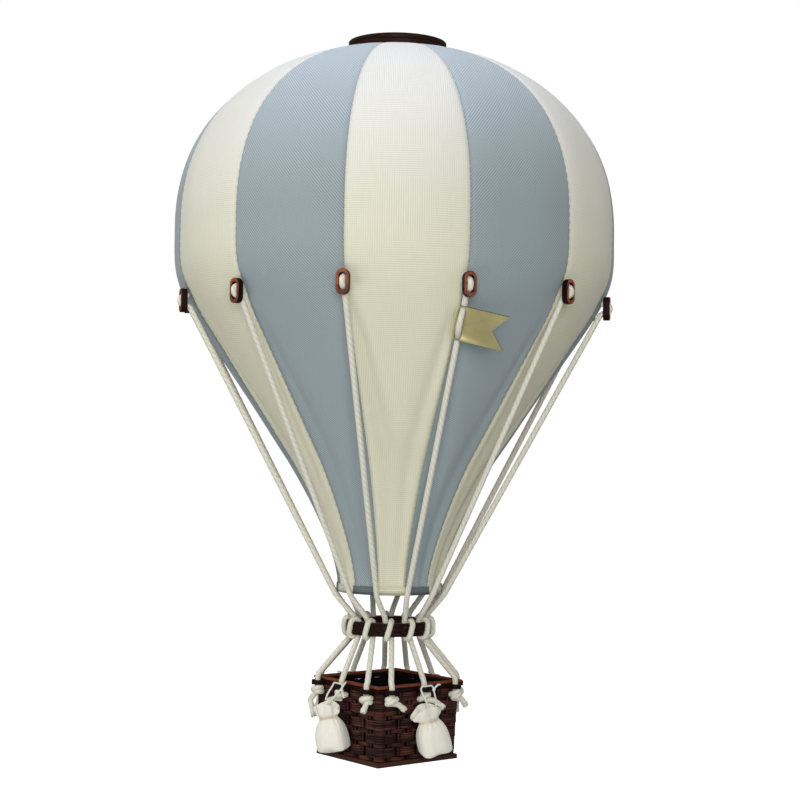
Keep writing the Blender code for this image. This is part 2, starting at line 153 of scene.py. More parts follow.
# Tag on the first seam's cord
TAG_SEAM = 0
TAG_HEIGHT = -202 * MM
TAG_LIFT = math.radians(28)
TAG_HOIST = 23 * MM
TAG_EDGE = 3.7 * MM
TAG_THICK = 1.2 * MM
TAG_HOLES_APART = 14 * MM

# Pouches and their strings
STRING_RADIUS = 0.6 * MM
STRING_KNOT = 1.2 * MM
STRING_STEP = 0.5 * MM
STRING_OUT = 42.7 * MM
POUCH_OUT = 45.4 * MM
POUCH_CLEAR = 1.1 * MM
POUCH_TURNS = (-20, -8, 8, 25)  # degrees from the wall's outward direction
NECK_HEIGHT = -463.5 * MM


def amount(name, description, default, **kind):
    """A property that holds a number."""
    return bpy.props.FloatProperty(name=name, description=description, default=default, **kind)


def length(name, description, default):
    """A property that holds a length."""
    return amount(name, description, default, unit="LENGTH", precision=5)


def colour(name, description, default):
    """A property that holds a colour."""
    return bpy.props.FloatVectorProperty(
        name=name, description=description, default=default, subtype="COLOR", min=0.0, max=1.0
    )


class ClothSettings(bpy.types.PropertyGroup):
    thickness: length("Thickness", "Thickness of the envelope's cloth", 0.5 * MM)
    row: length("Row", "Distance between the rows of a gore's mesh", 1.7 * MM)
    puff: length("Puff", "How far a gore stands out between its seams", 0.8 * MM)
    tuck: length("Tuck", "Depth of the groove at a seam", 1.1 * MM)
    pucker: length("Pucker", "Height of the puckers along a seam", 0.32 * MM)
    fold: length("Fold", "Depth of the folds that run from the toggles into the cone", 3.0 * MM)
    thread: length("Thread", "Distance between the lines of the weave", 1.42 * MM)
    twill: amount("Twill", "Contrast of the twill lines", 0.50)
    # Colours of the cloth: paler near the crown, darker and creamier down the cone
    white_top: colour("White, top", "Paler cloth near the crown", (0.878, 0.886, 0.905))
    white_low: colour("White, low", "Cream cloth of the cone", (0.757, 0.743, 0.56))
    blue_top: colour("Blue, top", "Pale blue cloth near the crown", (0.51, 0.604, 0.697))
    blue_low: colour("Blue, low", "Grey blue cloth of the cone", (0.314, 0.374, 0.392))
    # Painted shade: the near-black underside of the blue hem, and its darkest specks
    underside_shade: colour("Hoop", "Painted shade under the blue hem", (0.09, 0.10, 0.11))
    underside_shade_specks: colour("Hoop, darkest", "Darkest specks of the painted shade under the blue hem", (0.03, 0.035, 0.04))


class WoodSettings(bpy.types.PropertyGroup):
    ease: length("Eased edge", "Width of the bevel on cut edges", 0.35 * MM)
    crown: colour("Crown", "Stained plywood of the crown", (0.045, 0.016, 0.010))
    face: colour("Ring face", "Reddish brown faces of the load ring", (0.20, 0.054, 0.026))
    rim: colour("Rim", "Reddish brown rim of the basket", (0.20, 0.052, 0.025))
    burnt: colour("Burnt edge", "Scorched edges of the cut wood", (0.010, 0.004, 0.003))
    ply: colour("Ply line", "Pale line between the plies", (0.060, 0.026, 0.020))
    toggle: colour("Toggle", "Copper brown faces of the toggles", (0.33, 0.10, 0.055))


class CordSettings(bpy.types.PropertyGroup):
    radius: length("Radius", "Radius of the cord", 1.95 * MM)
    lay: length("Lay", "Length of one full turn of the twisted strands", 14 * MM)
    groove: amount("Groove", "Depth of the grooves between strands, as a share of the radius", 0.05)
    step: length("Step", "Distance between the rings of a cord's mesh", 1.0 * MM)
    cotton: colour("Cotton", "Undyed cotton of the cords", (0.80, 0.78, 0.66))
    shade: colour("Groove shade", "Cotton down in the grooves", (0.66, 0.64, 0.52))


class BasketSettings(bpy.types.PropertyGroup):
    period: length("Period", "Height of a wide and a narrow band of the weave", 9.2 * MM)
    column: length("Column", "Distance between stakes", 8.35 * MM)
    stake: length("Stake", "Radius of a stake", 0.7 * MM)
    strand_out: length("Strand depth", "Half the depth of a strand", 0.66 * MM)
    strand_up: length("Strand height", "Half the height of a strand", 0.93 * MM)
    thin_up: length("Thin strand height", "Half the height of a strand of the narrow bands", 0.84 * MM)
    dark: colour("Dark reed", "Reed in shade and in hollows", (0.022, 0.010, 0.008))
    brown: colour("Brown reed", "Reddish brown reed", (0.105, 0.036, 0.026))
    purple: colour("Purple reed", "Reed with a purple stain", (0.062, 0.020, 0.024))
    # Painted shade: near-black for the deepest hollows of the weave
    hollow_shade: colour("Hollow", "Deepest hollows of the weave", (0.004, 0.002, 0.002))
    # Painted shade: the near-black shell behind the weave stands in for the dark inside
    shade_shell: colour("Shade shell", "Dark shell behind the weave", (0.005, 0.003, 0.002))


class PouchSettings(bpy.types.PropertyGroup):
    pleats: bpy.props.IntProperty(name="Pleats", description="Pleats round a pouch's neck", default=15)
    pressure: amount("Pressure", "Filling pressure of the cloth", 3.0)
    frames: bpy.props.IntProperty(name="Frames", description="Frames that the cloth settles for", default=14)
    cap: length("Cap", "How far a point of the cloth may move as it fills", 1.1 * MM)
    cotton: colour("Cotton", "Cream cotton of the pouches", (0.89, 0.87, 0.75))
    # Painted shade: the brown of the crease where a neck is drawn together
    neck: colour("Neck", "Painted shade where a neck is drawn together", (0.52, 0.40, 0.27))
    string: colour("String", "White string", (0.86, 0.85, 0.79))


class TagSettings(bpy.types.PropertyGroup):
    corner: length("Corner", "Radius of the hoist corners", 2.6 * MM)
    ease: length("Eased edge", "Width of the bright bevel", 0.32 * MM)
    gold: colour("Gold", "Satin gold face", (0.60, 0.53, 0.25))
    # Painted highlight: the bright gold of the bevel stands in for its glint.
    bright: colour("Bright gold", "Painted highlight on the bevel", (0.95, 0.88, 0.55))
    # Painted reflection: the near-black cut sides stand in for the dark surroundings that they reflect.
    edge: colour("Edge", "Dark cut edge", (0.015, 0.013, 0.008))


class StageSettings(bpy.types.PropertyGroup):
    floor_height: length("Floor", "Height of the floor", -0.75)
    distance: length("Distance", "From the balloon's axis to the camera", 1.2)
    eye: length("Eye", "Height of the camera", -0.2774)
    lens: amount("Lens", "Focal length in millimetres", 77.97)
    azimuth: amount("Azimuth", "Camera's azimuth", math.radians(-3.02), subtype="ANGLE")
    pitch: amount("Pitch", "Camera's tilt up", 0.0244, subtype="ANGLE")
    yaw: amount("Yaw", "Turn to the right of the axis", 0.0046, subtype="ANGLE")
    roll: amount("Roll", "Roll of the camera", math.radians(0.89), subtype="ANGLE")
    floor: colour("Floor", "Pale floor", (0.50, 0.50, 0.50))
    front: amount("Front light", "Power beside the camera", 15.9)
    low: amount("Low light", "Power low on the left", 1.7)
    side: amount("Side light", "Power high on the left", 10.3)
    far: amount("Far light", "Power high on the right", 3.8)
    surround: amount("Surround", "Strength of the white surround", 0.18)


# Places and curves


def at(azimuth, radius, height, aside=0.0):
    """A point by azimuth and radius, moved aside along the tangent."""
    out = Vector((math.sin(azimuth), -math.cos(azimuth), 0.0))
    along = Vector((math.cos(azimuth), math.sin(azimuth), 0.0))
    return out * radius + along * aside + Vector((0.0, 0.0, height))


def arc(centre, radius, start, end, steps):
    """Points of an arc in the plane of radius and height, angles in degrees."""
    points = []
    for i in range(steps + 1):
        angle = math.radians(start + (end - start) * i / steps)
        points.append((centre[0] + radius * math.cos(angle), centre[1] + radius * math.sin(angle)))
    return points


def ramp(value, start, end):
    """Smoothly 0 at start and 1 at end."""
    share = min(1.0, max(0.0, (value - start) / (end - start)))
    return share * share * (3 - 2 * share)


def spaced(points, step):
    """Points at equal distances along a line of points, both ends kept."""
    total = sum((b - a).length for a, b in zip(points, points[1:]))
    count = max(2, round(total / step))
    result = [points[0].copy()]
    walked = 0.0
    for a, b in zip(points, points[1:]):
        run = (b - a).length
        while len(result) < count and walked + run >= total * len(result) / count:
            share = (total * len(result) / count - walked) / run
            result.append(a.lerp(b, share))
        walked += run
    result.append(points[-1].copy())
    return result


def distances(points):
    """How far along a line of points each of them is."""
    walked = [0.0]
    for a, b in zip(points, points[1:]):
        walked.append(walked[-1] + (b - a).length)
    return walked


def relaxed(points, rounds):
    """The line with its corners smoothed and its ends kept."""
    for _ in range(rounds):
        inner = [(a + b * 2 + c) / 4 for a, b, c in zip(points, points[1:], points[2:])]
        points = [points[0], *inner, points[-1]]
    return points


def envelope_rows(step):
    """Distance, radius, height and outward direction down the envelope, crown to mouth."""
    points = []
    for here, after in zip(PROFILE, PROFILE[1:]):
        start, end = Vector(here[:2]), Vector(after[:2])
        leaving, arriving = (math.radians(point[2]) for point in (here, after))
        handle = start + Vector((math.cos(leaving), -math.sin(leaving))) * here[4]
        other = end - Vector((math.cos(arriving), -math.sin(arriving))) * after[3]
        curve = interpolate_bezier(start, handle, other, end, 80)
        points.extend(Vector((p[0], p[1], 0.0)) for p in curve[:-1])
    points.append(Vector((*PROFILE[-1][:2], 0.0)))
    points = spaced(points, step)
    rows = []
    for i, point in enumerate(points):
        ahead = points[min(i + 1, len(points) - 1)] - points[max(i - 1, 0)]
        ahead.normalize()
        rows.append((i * step, point.x, point.y, Vector((-ahead.y, ahead.x))))
    return rows


def cloth_radius(height):
    """The envelope's outer radius at a height below its widest place."""
    rows = [row for row in envelope_rows(2 * MM) if row[2] < WIDEST_HEIGHT]
    for upper, lower in zip(rows, rows[1:]):
        if upper[2] >= height >= lower[2]:
            share = (upper[2] - height) / (upper[2] - lower[2])
            return upper[1] + (lower[1] - upper[1]) * share
    raise ValueError("the height is outside the envelope")


def side_azimuth(side):
    """The direction that a side of the basket faces."""
    return BASKET_TURN + math.radians(45 + 90 * side)


def seam_azimuth(number):
    """The direction of the seam after a gore."""
    return (number + 0.5) * 2 * HALF_GORE


def ear_of(number):
    """The basket side of a cord's ear, and how far the ear is along it."""
    return number // 3, (number % 3 - 1) * EAR_STEP


# Materials


def shader_of(material):
    """The material's surface shader."""
    return material.node_tree.nodes["Principled BSDF"]


def new_finish(name, roughness, metallic=0.0, sheen=0.0, shine=0.5):
    """A material with its constant values set on the shader."""
    material = bpy.data.materials.new(name)
    material.use_nodes = True
    shader = shader_of(material)
    shader.inputs["Roughness"].default_value = roughness
    shader.inputs["Metallic"].default_value = metallic
    shader.inputs["Sheen Weight"].default_value = sheen
    shader.inputs["Specular IOR Level"].default_value = shine
    return material


def add(owner, kind, sockets=None, **settings):
    """Adds a node to a material or a world; a socket takes a value or another node's output."""
    tree = owner.node_tree
    made = tree.nodes.new(kind)
    for key, value in settings.items():
        setattr(made, key, value)
    for key, value in (sockets or {}).items():
        if isinstance(value, bpy.types.NodeSocket):
            tree.links.new(value, made.inputs[key])
        else:
            made.inputs[key].default_value = value
    return made


def maths(material, operation, *values):
    """A number worked out from one to three others."""
    return add(material, "ShaderNodeMath", dict(enumerate(values)), operation=operation).outputs[0]


def blend(material, factor, first, second, mode="MIX"):
    """A mix of two colours."""
    sockets = {0: factor}
    for index, value in ((6, first), (7, second)):
        sockets[index] = value if isinstance(value, bpy.types.NodeSocket) else (*value[:3], 1.0)
    return add(material, "ShaderNodeMix", sockets, data_type="RGBA", blend_type=mode).outputs[2]


def spread(material, value, low, high, to_low=0.0, to_high=1.0):
    """A number mapped smoothly from one range to another."""
    sockets = {"Value": value, "From Min": low, "From Max": high, "To Min": to_low, "To Max": to_high}
    return add(material, "ShaderNodeMapRange", sockets, interpolation_type="SMOOTHSTEP").outputs["Result"]


def speckle(material, place, stretch, scale=1.0, detail=3.0, turn=(0.0, 0.0, 0.0)):
    """Noise on a stretched and turned coordinate."""
    mapped = add(material, "ShaderNodeMapping", {"Vector": place, "Scale": stretch, "Rotation": turn})
    sockets = {"Vector": mapped.outputs[0], "Scale": scale, "Detail": detail}
    return add(material, "ShaderNodeTexNoise", sockets).outputs["Fac"]


def lines(material, place, spacing, turn=(0.0, 0.0, 0.0), waver=0.4, direction="X"):
    """Even soft lines a spacing apart, on a turned coordinate."""
    mapped = add(material, "ShaderNodeMapping", {"Vector": place, "Rotation": turn})
    sockets = {
        "Vector": mapped.outputs[0],
        "Scale": math.tau / 20 / spacing,
        "Distortion": waver,
        "Detail": 1.0,
        "Detail Scale": 0.6,
    }
    return add(material, "ShaderNodeTexWave", sockets, bands_direction=direction).outputs["Fac"]


def close_finish(material, colour_socket, height, strength, distance, roughness=None):
    """Links the colour and the relief to the shader."""
    tree = material.node_tree
    shader = shader_of(material)
    tree.links.new(colour_socket, shader.inputs["Base Color"])
    relief = add(material, "ShaderNodeBump", {"Height": height, "Strength": strength, "Distance": distance})
    tree.links.new(relief.outputs[0], shader.inputs["Normal"])
    if roughness is not None:
        tree.links.new(roughness, shader.inputs["Roughness"])
    return material


def object_place(material):
    """The place on the piece in the balloon's own axes."""
    return add(material, "ShaderNodeTexCoord").outputs["Object"]


def looks_up(material):
    """How far a face looks up: 1 on top, 0 on a side and -1 below."""
    normal = add(material, "ShaderNodeTexCoord").outputs["Normal"]
    return add(material, "ShaderNodeSeparateXYZ", {0: normal}).outputs["Z"]


def stored(material, name):
    """A number that the mesh holds for each of its points."""
    return add(material, "ShaderNodeAttribute", attribute_name=name).outputs["Fac"]


def darker(tone, share):
    """A colour at a share of its brightness."""
    return tuple(share * part for part in tone)


def shaded(material, tone, lit):
    """A colour made lighter or darker by a number."""
    shade = add(material, "ShaderNodeCombineXYZ", {0: lit, 1: lit, 2: lit}).outputs[0]
    return blend(material, 1.0, tone, shade, "MULTIPLY")


def varied(material, lit, pattern, depth):
    """A brightness moved up and down by a pattern."""
    return maths(material, "MULTIPLY_ADD", maths(material, "SUBTRACT", pattern, 0.5), depth, lit)


def cloth_finish(name, top, low, cloth, twill):
    """Canvas, paler towards the crown: diagonal twill lines, or the fine grid of a plain weave."""
    material = new_finish(name, 0.92, sheen=0.2)
    place = add(material, "ShaderNodeUVMap", uv_map="cloth").outputs["UV"]
    patch = speckle(material, place, (26.0, 26.0, 1.0), detail=1.0)
    if twill:
        weave = lines(material, place, cloth.thread, (0.0, 0.0, math.radians(-41)), waver=0.5)
        fade = spread(material, patch, 0.36, 0.60, 0.45, 1.0)
        depth = maths(material, "MULTIPLY", fade, cloth.twill)
    else:
        warp = lines(material, place, cloth.thread, waver=0.9)
        weft = lines(material, place, cloth.thread, waver=0.9, direction="Y")
        which = spread(material, patch, 0.42, 0.58)
        weave = add(material, "ShaderNodeMix", {0: which, 2: warp, 3: weft}).outputs[0]
        depth = 0.28 * cloth.twill
    slub = speckle(material, place, (900.0, 90.0, 1.0), detail=2.0)
    broad = speckle(material, place, (14.0, 9.0, 1.0), detail=2.0)
    down = add(material, "ShaderNodeSeparateXYZ", {0: place}).outputs["Y"]
    near, far = (0.06, 0.22) if twill else (0.05, 0.28)  # metres down the gore where the tone turns
    base = blend(material, spread(material, down, near, far), top, low)
    lit = varied(material, 0.95, weave, depth)
    lit = maths(material, "MULTIPLY_ADD", slub, 0.10, lit)
    lit = varied(material, lit, broad, 0.06)
    # Painted shade: the cloth is darkened along the seam grooves.
    lit = maths(material, "SUBTRACT", lit, maths(material, "MULTIPLY", stored(material, "seam"), 0.20))
    height = maths(material, "MULTIPLY_ADD", slub, 0.5, weave)
    return close_finish(material, shaded(material, base, lit), height, 0.35, 0.12 * MM)


def wood_finish(name, face, edge, ply, grain=(1.0, 0.0), sides=True):
    """Stained plywood: grain on the flat faces, scorched sides with fine ply lines."""
    material = new_finish(name, 0.5, shine=0.08)
    place = object_place(material)
    turn = (0.0, 0.0, math.atan2(grain[1], grain[0]))
    fine = speckle(material, place, (60.0, 900.0, 900.0), detail=5.0, turn=turn)
    broad = speckle(material, place, (20.0, 120.0, 120.0), detail=3.0, turn=turn)
    grained = maths(material, "MULTIPLY_ADD", broad, 0.6, maths(material, "MULTIPLY", fine, 0.4))
    face_colour = blend(material, spread(material, grained, 0.38, 0.62), darker(face, 0.42), face)
    layers = lines(material, place, 0.95 * MM, waver=0.8, direction="Z")
    scorch_and_shade_specks = speckle(material, place, (260.0, 260.0, 900.0), detail=3.0)
    clean = spread(material, scorch_and_shade_specks, 0.42, 0.68)
    layered = maths(material, "MULTIPLY", spread(material, layers, 0.72, 0.96), clean)
    edge_colour = blend(material, layered, edge, ply)
    if sides:
        flat = spread(material, maths(material, "ABSOLUTE", looks_up(material)), 0.55, 0.98)
    else:
        burn = maths(material, "SUBTRACT", stored(material, "burn"), 0.25)
        ragged = maths(material, "MULTIPLY_ADD", scorch_and_shade_specks, 0.5, burn)
        flat = maths(material, "SUBTRACT", 1.0, spread(material, ragged, 0.22, 0.62))
    toned = blend(material, flat, edge_colour, face_colour)
    height = maths(material, "MULTIPLY_ADD", layers, 0.6, fine)
    rough = maths(material, "MULTIPLY_ADD", fine, 0.3, 0.32)
    return close_finish(material, toned, height, 0.35, 0.10 * MM, rough)


def reed_finish(name, basket):
    """Stained reed: every strand in its own brown, with a painted highlight on the faces that look up."""
    material = new_finish(name, 0.5, shine=0.1)
    place = object_place(material)
    strand = speckle(material, place, (35.0, 35.0, 560.0), detail=1.0)
    fine = speckle(material, place, (150.0, 150.0, 3000.0), detail=4.0)
    stain = speckle(material, place, (70.0, 70.0, 200.0), detail=2.0)
    base = blend(material, spread(material, strand, 0.34, 0.66), basket.dark, basket.brown)
    base = blend(material, spread(material, stain, 0.52, 0.70, 0.0, 0.75), base, basket.purple)
    # Painted highlight: faces that look up are painted lighter, as if lit from above.
    painted_top_light = maths(material, "MULTIPLY_ADD", looks_up(material), 0.5, 0.78)
    lit = maths(material, "MULTIPLY_ADD", fine, 0.5, maths(material, "SUBTRACT", painted_top_light, 0.25))
    # Painted shade: parts lying deep behind the front of the weave are painted near-black.
    proud = spread(material, stored(material, "proud"), 0.1, 0.75)
    toned = blend(material, proud, basket.hollow_shade, shaded(material, base, lit))
    return close_finish(material, toned, fine, 0.5, 0.12 * MM)


def cotton_finish(name, cotton, shade):
    """Soft twisted cotton: fibres along the strands, with painted shade in the grooves."""
    material = new_finish(name, 0.95, sheen=0.35)
    place = add(material, "ShaderNodeUVMap", uv_map="rope").outputs["UV"]
    fibres = speckle(material, place, (26.0, 260.0, 1.0), detail=3.0, turn=(0.0, 0.0, 0.35))
    fluff = speckle(material, object_place(material), (700.0, 700.0, 700.0), detail=3.0)
    # Painted shade: the grooves between the strands are painted darker.
    groove = maths(material, "MULTIPLY", stored(material, "groove"), 0.75)
    fibres_and_groove_shade = maths(material, "MULTIPLY_ADD", fibres, 0.35, groove)
    toned = blend(material, spread(material, fibres_and_groove_shade, 0.12, 1.05), cotton, shade)
    height = maths(material, "MULTIPLY_ADD", fluff, 0.6, fibres)
    return close_finish(material, toned, height, 0.5, 0.18 * MM)


def pouch_finish(name, pouch):
    """Fine plain cotton, with painted brown shade in the crease where the neck is drawn together."""
    material = new_finish(name, 0.92, sheen=0.3)
    place = object_place(material)
    thread = 0.42 * MM
    warp = lines(material, place, thread, direction="Z", waver=0.8)
    weft = lines(material, place, thread, direction="X", waver=0.8)
    slub = speckle(material, place, (500.0, 500.0, 120.0), detail=2.0)
    height = maths(material, "MULTIPLY_ADD", weft, 0.7, warp)
    lit = maths(material, "MULTIPLY_ADD", height, 0.03, 0.88)
    lit = maths(material, "MULTIPLY_ADD", slub, 0.16, lit)
    # Painted shade: patchy brown shade in the crease at the neck
    neck_shade_patches = spread(material, slub, 0.3, 0.6, 0.35, 0.9)
    drawn = maths(material, "MULTIPLY", stored(material, "neck"), neck_shade_patches)
    toned = blend(material, drawn, shaded(material, pouch.cotton, lit), pouch.neck)
    return close_finish(material, toned, height, 0.35, 0.08 * MM)


def gold_finish(name, tag):
    """Satin gold sheet with a painted highlight on its bevel and painted dark reflection on its cut sides."""
    material = new_finish(name, 0.34, metallic=0.85)
    place = object_place(material)
    brushed = speckle(material, place, (1500.0, 400.0, 120.0), detail=3.0)
    cloudy = speckle(material, place, (90.0, 90.0, 90.0), detail=2.0)
    face = blend(material, spread(material, cloudy, 0.3, 0.7), darker(tag.gold, 0.86), tag.gold)
    burn = stored(material, "burn")
    # Painted highlight: the bevel is painted bright gold.
    bevel = blend(material, spread(material, burn, 0.02, 0.30), face, tag.bright)
    # Painted reflection: the cut sides are painted near-black.
    toned = blend(material, spread(material, burn, 0.62, 0.95), bevel, tag.edge)
    rough = maths(material, "MULTIPLY_ADD", brushed, 0.16, 0.26)
    return close_finish(material, toned, brushed, 0.12, 0.03 * MM, rough)


# Meshes


def finished(name, bm, materials, smooth=True, angle=None):
    """Makes an object at the origin from a bmesh."""
    mesh = bpy.data.meshes.new(name)
    bm.to_mesh(mesh)
    bm.free()
    for material in materials:
        mesh.materials.append(material)
    if smooth:
        mesh.shade_smooth()
    if angle is not None:
        mesh.set_sharp_from_angle(angle=math.radians(angle))
    piece = bpy.data.objects.new(name, mesh)
    bpy.context.collection.objects.link(piece)
    return piece


def settle(piece, body, slot, *nodes):
    """Puts a piece on its body and in the place of CAD nodes; the slot argument is not used."""
    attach(piece, body)
    if nodes:
        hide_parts(*nodes)
    return piece


def face_out(bm):
    """Merges doubles and turns the faces of a closed shape outwards."""
    bmesh.ops.remove_doubles(bm, verts=bm.verts, dist=1e-6)
    bm.normal_update()
    bmesh.ops.recalc_face_normals(bm, faces=bm.faces)


def bevelled(bm, edges, width, segments, clamp=True):
    """Rounds off edges."""
    bmesh.ops.bevel(
        bm,
        geom=edges,
        offset=width,
        offset_type="OFFSET",
        segments=segments,
        profile=0.5,
        affect="EDGES",
        clamp_overlap=clamp,
        material=-1,
    )


def ease_edges(bm, width, segments=3, angle=30):
    """Bevels the edges that are sharper than an angle."""
    bm.normal_update()
    sharp = [e for e in bm.edges if e.is_manifold and e.calc_face_angle() > math.radians(angle)]
    bevelled(bm, sharp, width, segments)


def thickened(bm, faces, move):
    """Extrudes flat faces into a closed solid."""
    copy = bmesh.ops.extrude_face_region(bm, geom=faces, use_keep_orig=True)
    moved = [part for part in copy["geom"] if isinstance(part, bmesh.types.BMVert)]
    bmesh.ops.translate(bm, verts=moved, vec=move)
    face_out(bm)


def lengthened(value, extra):
    """A coordinate on a circle, moved out from the middle to make the circle oblong."""
    return value + math.copysign(extra, value) if abs(value) > 1e-9 else value


def mark_cut_sides(bm, facing):
    """Stores how far each point is from a flat face: 0 on it, 1 on the cut sides."""
    burn = bm.verts.layers.float.new("burn")
    bm.normal_update()
    for vert in bm.verts:
        parts = [abs(face.normal.dot(facing)) for face in vert.link_faces]
        vert[burn] = 1.0 - ramp(sum(parts) / len(parts), 0.0, 1.0)


def plate_from(node):
    """A bmesh of a CAD node with its flat faces merged."""
    bm = bmesh.new()
    bm.from_mesh(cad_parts[node].data)
    bmesh.ops.remove_doubles(bm, verts=bm.verts, dist=1e-6)
    bmesh.ops.dissolve_limit(bm, angle_limit=math.radians(0.5), verts=bm.verts, edges=bm.edges)
    return bm


def tube_frames(places, up, closed):
    """A sideways and an upwards direction at each point of a line."""
    count = len(places)
    frames = []
    sideways = None
    for i in range(count):
        if closed:
            ahead = places[(i + 1) % count] - places[i - 1]
        else:
            ahead = places[min(i + 1, count - 1)] - places[max(i - 1, 0)]
        ahead.normalize()
        if up is not None:
            sideways = ahead.cross(up).normalized()
        elif sideways is None:
            sideways = ahead.orthogonal().normalized()
        else:
            sideways = (sideways - ahead * sideways.dot(ahead)).normalized()
        frames.append((sideways, sideways.cross(ahead)))
    return frames


def write_uv(faces, layer, spots):
    """Gives the corners of faces the places of their points on a UV map."""
    for face in faces:
        for corner in face.loops:
            corner[layer].uv = spots[corner.vert]


def strand_lobe(angle):
    """Height of a twisted cord's strands round it, 0 in a groove and 1 on a strand."""
    return abs(math.sin(STRANDS / 2 * angle))


def sweep(bm, places, outline, up=None, sizes=None, turns=None, closed=False):
    """Rolls a grid into a tube along points; the outline's axes are sideways and upwards."""
    sides = len(outline)
    count = len(places)
    rows = count if closed else count - 1
    frames = tube_frames(places, up, closed)
    walked = distances(places + places[:1])
    uv = bm.loops.layers.uv.get("rope")
    groove = bm.verts.layers.float.get("groove")
    spots = {}
    grid = bmesh.ops.create_grid(bm, x_segments=sides, y_segments=rows, size=1.0)["verts"]
    for vert in grid:
        column = round((vert.co.x + 1) / 2 * sides)
        row = round((vert.co.y + 1) / 2 * rows)
        spots[vert] = (column / sides, walked[row])
        # The groove weight tells where cotton_finish paints shade.
        if groove is not None:
            vert[groove] = (1 - strand_lobe(math.tau * column / sides)) ** 2
        spot = row % count
        x, y = outline[column % sides]
        if turns:
            c, s = math.cos(turns[spot]), math.sin(turns[spot])
            x, y = x * c - y * s, x * s + y * c
        sideways, upwards = frames[spot]
        vert.co = places[spot] + (sideways * x + upwards * y) * (sizes[spot] if sizes else 1.0)
    if uv is not None:
        write_uv({face for vert in grid for face in vert.link_faces}, uv, spots)
    bmesh.ops.remove_doubles(bm, verts=grid, dist=1e-7)
    if not closed:
        left = [vert for vert in grid if vert.is_valid]
        ends = {edge for vert in left for edge in vert.link_edges if edge.is_boundary}
        bmesh.ops.holes_fill(bm, edges=list(ends), sides=0)


def disc_outline(radius, sides, squeeze=1.0):
    """A round or oval outline for sweeping."""
    return [
        (radius * math.cos(math.tau * k / sides), squeeze * radius * math.sin(math.tau * k / sides))
        for k in range(sides)
    ]


def rope_mesh():
    """An empty bmesh in which sweep writes a cord's UV map and its grooves."""
    bm = bmesh.new()
    bm.loops.layers.uv.new("rope")
    bm.verts.layers.float.new("groove")
    return bm


def turned(outline, steps):
    """A ring turned from a closed outline of radius and height."""
    bm = bmesh.new()
    verts = [bm.verts.new((radius, 0.0, height)) for radius, height in outline]
    edges = [bm.edges.new((a, b)) for a, b in zip(verts, verts[1:] + verts[:1])]
    bmesh.ops.spin(
        bm, geom=verts + edges, cent=(0, 0, 0), axis=(0, 0, 1), angle=math.tau, steps=steps, use_merge=True
    )
    face_out(bm)
    return bm


def flat_ring(outer, inner, top, bottom, steps, ease):
    """A flat ring with eased edges."""
    bm = turned([(inner, top), (outer, top), (outer, bottom), (inner, bottom)], steps)
    ease_edges(bm, ease, angle=60)
    return bm


# Cords


def toggle_height(number):
    """The height of a toggle's middle."""
    return TOGGLE_HEIGHT - TOGGLE_DROPS.get(number, 0.0)


def toggle_faces(number):
    """Radii of a toggle's inner and outer face: its top edge stands on the seam."""
    inner = cloth_radius(toggle_height(number) + TOGGLE_LONG / 2) + GAP
    return inner, inner + TOGGLE_THICK


def run_heading(start, end):
    """Degrees from straight down of the run between two points, inwards positive."""
    return math.degrees(math.atan2(start[0] - end[0], start[1] - end[1]))


def upper_route(number):
    """Radius and height of a cord from its seam through the toggle and down to the mouth."""
    inner, outer = toggle_faces(number)
    middle = toggle_height(number)
    slot_bottom = middle - SLOT_LONG / 2
    hem_edge = (HEM_RADIUS, HEM_BOTTOM)
    run = run_heading((inner, slot_bottom), hem_edge)
    to_ring = run_heading(hem_edge, ring_route()[0][:2])
    start = middle + BEND_IN_TOGGLE
    route = [(cloth_radius(start - CORD_RADIUS) + CORD_OFF_CLOTH, start)]
    route += arc((outer - BEND_BEHIND_FACE, middle), BEND_IN_TOGGLE, 90, -90, 12)
    route += arc((inner, slot_bottom), CORD_CLEAR, 90, 180 - run, 8)
    route += arc(hem_edge, CORD_CLEAR, -run, -to_ring, 4)
    return route


def ring_route():
    """The turn round the load ring through its hole: radius, height and aside."""
    # Columns: radius, height from the ring's top or from its bottom, aside, all in mm
    top = ((25.4, 3.0, -4.4), (24.3, 0.6, -4.2), (24.0, -2.0, -4.1))
    below = ((24.0, 2.0, -4.1), (24.7, -0.9, -3.9), (26.6, -1.7, -3.8), (29.0, -1.4, -3.7), (30.5, 0.8, -3.4))
    above = ((30.6, -0.8, -1.3), (29.2, 1.4, -1.0), (27.0, 1.9, -0.6), (24.7, 0.9, -0.1), (24.0, -2.0, 0.0))
    leave = ((24.0, 2.0, 0.0), (24.8, -0.8, 0.1))
    route = []
    for level, places in ((RING_TOP, top), (RING_BOTTOM, below), (RING_TOP, above), (RING_BOTTOM, leave)):
        route += [(radius * MM, level + height * MM, aside * MM) for radius, height, aside in places]
    return route


# Tails below the ears. Columns: aside, down and out at the middle, the same at the end, in mm
TAILS = {
    0: ((4.8, 0.6, 0.5), (9.6, 4.4, 1.5)),
    1: ((6.0, 0.0, 3.5), (11.6, 4.8, 6.5)),
    2: ((4.6, 0.8, 1.0), (8.0, 5.8, 2.0)),
    9: ((-6.5, 5.0, 1.5), (-1.0, 15.5, 2.0)),
    10: ((-5.5, 0.8, 1.0), (-12.0, 3.4, 2.0)),
    11: ((-0.4, 3.4, 0.8), (-1.4, 6.0, 1.4)),
}
TAIL_ELSEWHERE = ((1.0, 5.0, 0.6), (2.5, 12.0, 1.4))
TAIL_BY_POUCH = ((5.6, 1.2, 0.6), (12.5, 7.5, 1.0))
TAIL_SIZE = 1.12
KNOT_WRAPS = 1.55
KNOT_REACH = 3.0 * MM
KNOT_TALL = 4.0 * MM
KNOT_LEAN = 0.9 * MM


